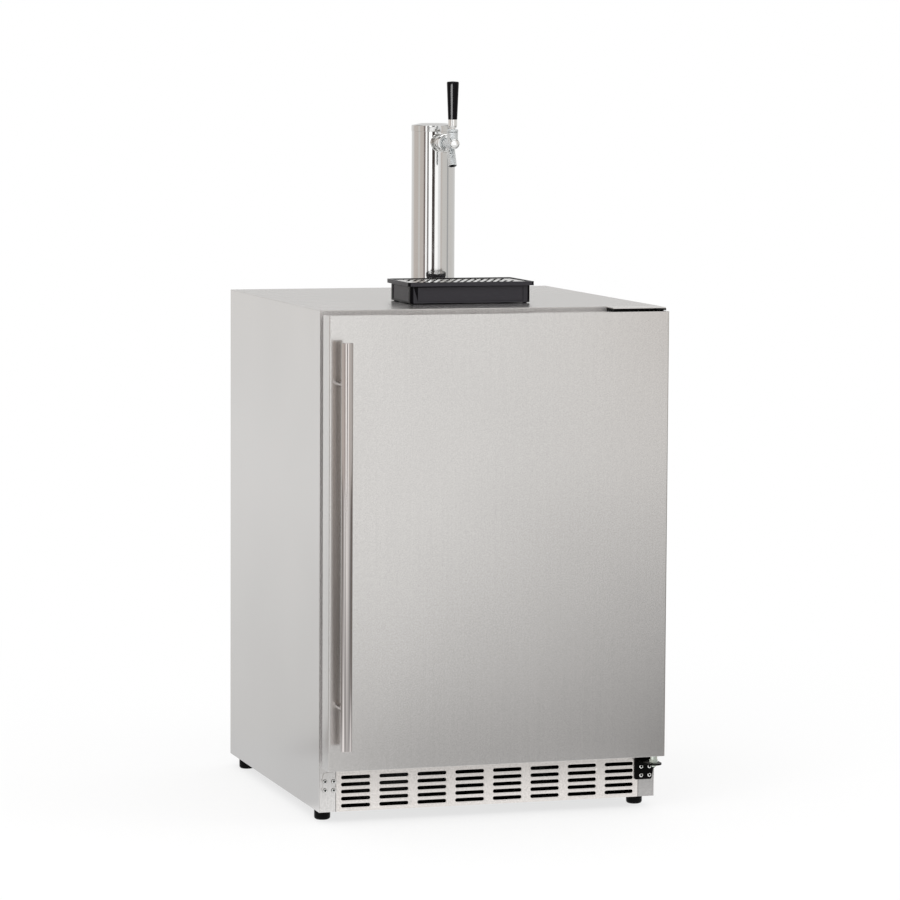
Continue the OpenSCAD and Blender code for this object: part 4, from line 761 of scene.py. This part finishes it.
        # A small card that only gloss sees, for the highlight along the black grip
        card = bpy.data.lights.new("card", "AREA")
        card.shape = "RECTANGLE"
        (card.size, card.size_y), card.energy = CARD_SIZE, studio.card
        shown = bpy.data.objects.new("card", card)
        for kind in ("camera", "diffuse", "transmission", "volume_scatter"):
            setattr(shown, "visible_" + kind, False)
        scene.collection.objects.link(shown)
        shown.location = middle("tap_handle") + CARD_WAY * CARD_DISTANCE
        shown.rotation_euler = (-CARD_WAY).to_track_quat("-Z", "Y").to_euler()


class KEGERATOR_OT_cabinet(bpy.types.Operator):
    """Outer steel of the cabinet: sides, top, back and front frame"""
    bl_idname = "kegerator.cabinet"
    bl_label = "Cabinet"

    def execute(self, context):
        edge = settings("steel").edge / MM
        for side in ("left", "right"):
            rounded("side_sheet_" + side, "side_panel_" + side, finish("steel_upright"), edge)
        rounded("top_sheet", "top_panel", finish("steel_top"), edge)
        rounded("back_sheet", "back_panel", finish("galvanised"), edge * 0.5)
        rounded("frame_strips", "front_frame", finish("frame_steel"), 0.08)
        return {"FINISHED"}


class KEGERATOR_OT_kick_area(bpy.types.Operator):
    """Slotted grille, corner posts and the plate over the unused hinge holes"""
    bl_idname = "kegerator.kick_area"
    bl_label = "Kick area"

    def execute(self, context):
        low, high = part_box("kick_grille")
        margin = 0.35 * MM

        def at_seam(point):
            return min(abs(point.x - low.x), abs(point.x - high.x)) < margin + SEAM

        # Faces at the seams between the grille and the posts take painted shade, near black, for the shade
        # in the gaps
        darken(rounded("grille_sheet", "kick_grille", finish("grille_steel"), 0.25), at_seam)
        # The right post takes a darker copy of the sheet steel: painted shade
        for side, coating in (("left", "steel_upright"), ("right", "shaded_steel")):
            darken(rounded("post_" + side, "corner_post_" + side, finish(coating), 0.3), at_seam)
        rounded("blank_plate", "hinge_blank_plate", finish("steel_upright"), 0.4)
        return {"FINISHED"}


class KEGERATOR_OT_hinges(bpy.types.Operator):
    """Hinge brackets, pin, cover plate and screws"""
    bl_idname = "kegerator.hinges"
    bl_label = "Hinges"

    def execute(self, context):
        rounded("lower_bracket", "bottom_hinge_bracket", finish("black_paint"), 0.6)
        rounded("upper_bracket", "top_hinge_bracket", finish("black_paint"), 0.5)
        rounded("lower_pin", "bottom_hinge_pin", finish("pin_zinc"), 0.4)
        rounded("hinge_cover", "hinge_cover_plate", finish("steel_across"), 0.5)
        darken_sockets(rounded("bracket_screws", "hinge_screws", finish("bright_zinc"), 0.12), 1, -1)
        return {"FINISHED"}


class KEGERATOR_OT_door(bpy.types.Operator):
    """Door skin, inner panel, seal and bushings"""
    bl_idname = "kegerator.door"
    bl_label = "Door"

    def execute(self, context):
        rounded("door_shell", "door_skin", finish("steel_upright"), 0.8, 3, 60)
        rounded("door_inner", "door_liner", finish("white_panel"), 1.2, 3)
        rounded("door_gasket", "door_seal", finish("gasket_grey"), 0.8)
        rounded("bushings", "door_bushings", finish("matte_black"), 0.25)
        coat("door_foam", finish("foam"))
        return {"FINISHED"}


class KEGERATOR_OT_handle(bpy.types.Operator):
    """Long bar on two flared posts"""
    bl_idname = "kegerator.handle"
    bl_label = "Door handle"

    def execute(self, context):
        low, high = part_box("handle_bar")
        centre = middle("handle_bar")
        radius = min(high.x - low.x, high.y - low.y) / 2
        half = (high.z - low.z) / 2
        edge = 1.0 * MM
        profile = [(0, -half), *arc((radius - edge, -half + edge), edge, -90, 0),
                   *arc((radius - edge, half - edge), edge, 0, 90), (0, half)]
        settle(turned("bar", profile, centre), finish("bar_steel"), "handle_bar", ["handle_bar"])
        rounded("bar_posts", "handle_posts", finish("bar_steel"), 0.3)
        return {"FINISHED"}


class KEGERATOR_OT_tower(bpy.types.Operator):
    """Polished tower with its cap, flange, gasket and screws"""
    bl_idname = "kegerator.tower"
    bl_label = "Tower"

    def execute(self, context):
        low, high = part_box("tower_column")
        centre = middle("tower_column")
        radius = (high.x - low.x) / 2
        half = (high.z - low.z) / 2
        wall = 1.5 * MM
        profile = [(radius, -half), (radius, half), (radius - wall, half), (radius - wall, -half)]
        column = turned("column", profile, centre, steps=256)
        shank = middle("shank")
        reach = (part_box("shank_flange")[1].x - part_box("shank_flange")[0].x) / 3
        deep = 50 * MM
        drill = turned("drill", [(0, -deep), (reach, -deep), (reach, deep), (0, deep)],
                       (centre.x, centre.y - radius, shank.z), "Y", 64)
        hole = column.modifiers.new("Shank hole", "BOOLEAN")
        hole.object = drill
        hole.solver = "EXACT"
        apply_modifiers(column)
        bpy.data.objects.remove(drill)
        shade(column.data)
        settle(column, finish("tower_steel"), "tower_column", ["tower_column"])
        rounded("cap", "tower_cap", finish("tower_steel"), 0.3)
        rounded("base_flange", "tower_flange", finish("tower_steel"), 0.3)
        rounded("base_screws", "tower_screws", finish("tap_chrome"), 0.12)
        coat("tower_gasket", finish("rubber"))
        coat("line_sleeve", finish("white_panel"))
        return {"FINISHED"}


class KEGERATOR_OT_tap(bpy.types.Operator):
    """Shank, faucet, lever and handle"""
    bl_idname = "kegerator.tap"
    bl_label = "Tap"

    def execute(self, context):
        for name, node, coating, width in (
                ("shank_ring", "shank_flange", "tap_chrome", 0.4),
                ("shank_tube", "shank", "tap_chrome", 0.25),
                ("coupling", "coupling_nut", "tap_chrome", 0.3),
                ("front_cap", "faucet_cap", "tap_chrome", 0.25),
                ("bonnet_ring", "faucet_bonnet", "tap_satin", 0.3),
                ("valve_shaft", "faucet_shaft", "tap_chrome", 0.2),
                ("lever", "tap_lever", "tap_chrome", 0.3)):
            rounded(name, node, finish(coating), width)
        mouth = next(m for m in frame["record"]["mounts"] if m["name"] == "spout_mouth")
        along = -Vector(mouth["axis"])
        start = Vector(mouth["pos_m"]) - along * mouth["dims"]["length_mm"] / 2 * MM
        margin = 0.1 * MM
        bore = mouth["dims"]["r_mm"] * MM + margin

        def in_bore(face):
            """Tells if a face is on the wall of the spout's bore."""
            rise = (face.center - start).dot(along)
            aside = (face.center - start - along * rise).length
            return rise > -margin and aside < bore and abs(face.normal.dot(along)) < 0.5

        # The wall of the spout's bore takes painted shade, near black, for the dark mouth
        refinish(rounded("faucet", "faucet_body", finish("tap_satin"), 0.25), "recess", in_bore)
        rounded("shank_lock_nut", "shank_nut", finish("bright_zinc"), 0.5)
        grip = rounded("grip", "tap_handle", finish("grip_black"), 0.4)
        lit = bpy.data.collections.new("lit_by_card")
        lit.objects.link(grip)
        bpy.data.objects["card"].light_linking.receiver_collection = lit
        return {"FINISHED"}


class KEGERATOR_OT_drip_tray(bpy.types.Operator):
    """Black tray and its slotted steel plate"""
    bl_idname = "kegerator.drip_tray"
    bl_label = "Drip tray"

    def execute(self, context):
        tray = rounded("tray", "drip_tray", finish("tray_black"), 0.6, 3)
        centre = middle("drip_tray")
        panel_area = 800 * MM * MM

        def sunk_panel(face):
            """Tells if a face is one of the large upright panels on the outside."""
            outward = Vector((face.center.x - centre.x, face.center.y - centre.y, 0)).dot(face.normal) > 0
            return abs(face.normal.z) < 0.1 and face.area > panel_area and outward

        refinish(tray, "tray_grained", sunk_panel)
        rounded("tray_plate", "drip_grille", finish("drain_steel"), 0.2)
        return {"FINISHED"}


class KEGERATOR_OT_inside(bpy.types.Operator):
    """Inner panels, keg floor, air cover, fan and thermostat"""
    bl_idname = "kegerator.inside"
    bl_label = "Inside"

    def execute(self, context):
        white = finish("white_panel")
        coat("inner_liner", white)
        coat("insulation", finish("foam"))
        rounded("keg_plate", "keg_floor", finish("steel_across"), 0.5)
        rounded("air_cover", "evaporator_cover", white, 0.8)
        rounded("inner_fan", "circulation_fan", white, 0.3)
        rounded("thermostat_box", "thermostat_housing", white, 1.0)
        rounded("knob", "thermostat_knob", finish("matte_black"), 0.6)
        return {"FINISHED"}


class KEGERATOR_OT_machine_bay(bpy.types.Operator):
    """Base, compressor, condenser, fan and service cover"""
    bl_idname = "kegerator.machine_bay"
    bl_label = "Machine bay"

    def execute(self, context):
        for name, node, coating, width in (
                ("base", "base_pan", "black_paint", 0.4),
                ("bay_sheet", "bay_panel", "galvanised", 0.3),
                ("service_cover", "rear_service_cover", "galvanised", 0.3),
                ("service_screws", "cover_screws", "bright_zinc", 0.12),
                ("compressor_can", "compressor", "black_paint", 0.8),
                ("rubber_mounts", "compressor_mounts", "rubber", 0.5),
                ("shroud", "fan_shroud", "matte_black", 0.4),
                ("fan", "condenser_fan", "white_panel", 0.4),
                ("cable_gland", "cord_gland", "matte_black", 0.4)):
            rounded(name, node, finish(coating), width)
        coat("condenser_coil", finish("copper"))
        return {"FINISHED"}


class KEGERATOR_OT_feet(bpy.types.Operator):
    """Four levelling feet"""
    bl_idname = "kegerator.feet"
    bl_label = "Feet"

    def execute(self, context):
        for place in ("front_left", "front_right", "back_left", "back_right"):
            rounded("leveller_" + place, "foot_" + place, finish("matte_black"), 0.4)
        return {"FINISHED"}


OPERATORS = (KEGERATOR_OT_stage, KEGERATOR_OT_cabinet, KEGERATOR_OT_kick_area, KEGERATOR_OT_hinges,
             KEGERATOR_OT_door, KEGERATOR_OT_handle, KEGERATOR_OT_tower, KEGERATOR_OT_tap,
             KEGERATOR_OT_drip_tray, KEGERATOR_OT_inside, KEGERATOR_OT_machine_bay, KEGERATOR_OT_feet)


class KEGERATOR_PT_panel(bpy.types.Panel):
    """Lists the kegerator's settings and pieces"""
    bl_idname = "KEGERATOR_PT_panel"
    bl_label = "Kegerator"
    bl_space_type = "VIEW_3D"
    bl_region_type = "UI"
    bl_category = "Kegerator"

    def draw(self, context):
        for name, group in GROUPS.items():
            box = self.layout.box()
            for key in group.__annotations__:
                box.prop(getattr(context.scene, name), key)
        for operator in OPERATORS:
            self.layout.operator(operator.bl_idname)


CLASSES = (*GROUPS.values(), *OPERATORS, KEGERATOR_PT_panel)


def register():
    for item in CLASSES:
        bpy.utils.register_class(item)
    for name, group in GROUPS.items():
        setattr(bpy.types.Scene, name, PointerProperty(type=group))


def unregister():
    for name in GROUPS:
        delattr(bpy.types.Scene, name)
    for item in reversed(CLASSES):
        bpy.utils.unregister_class(item)


def main():
    """Registers the add-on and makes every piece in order."""
    register()
    for operator in OPERATORS:
        group, name = operator.bl_idname.split(".")
        getattr(getattr(bpy.ops, group), name)()


if __name__ == "__main__":
    main()
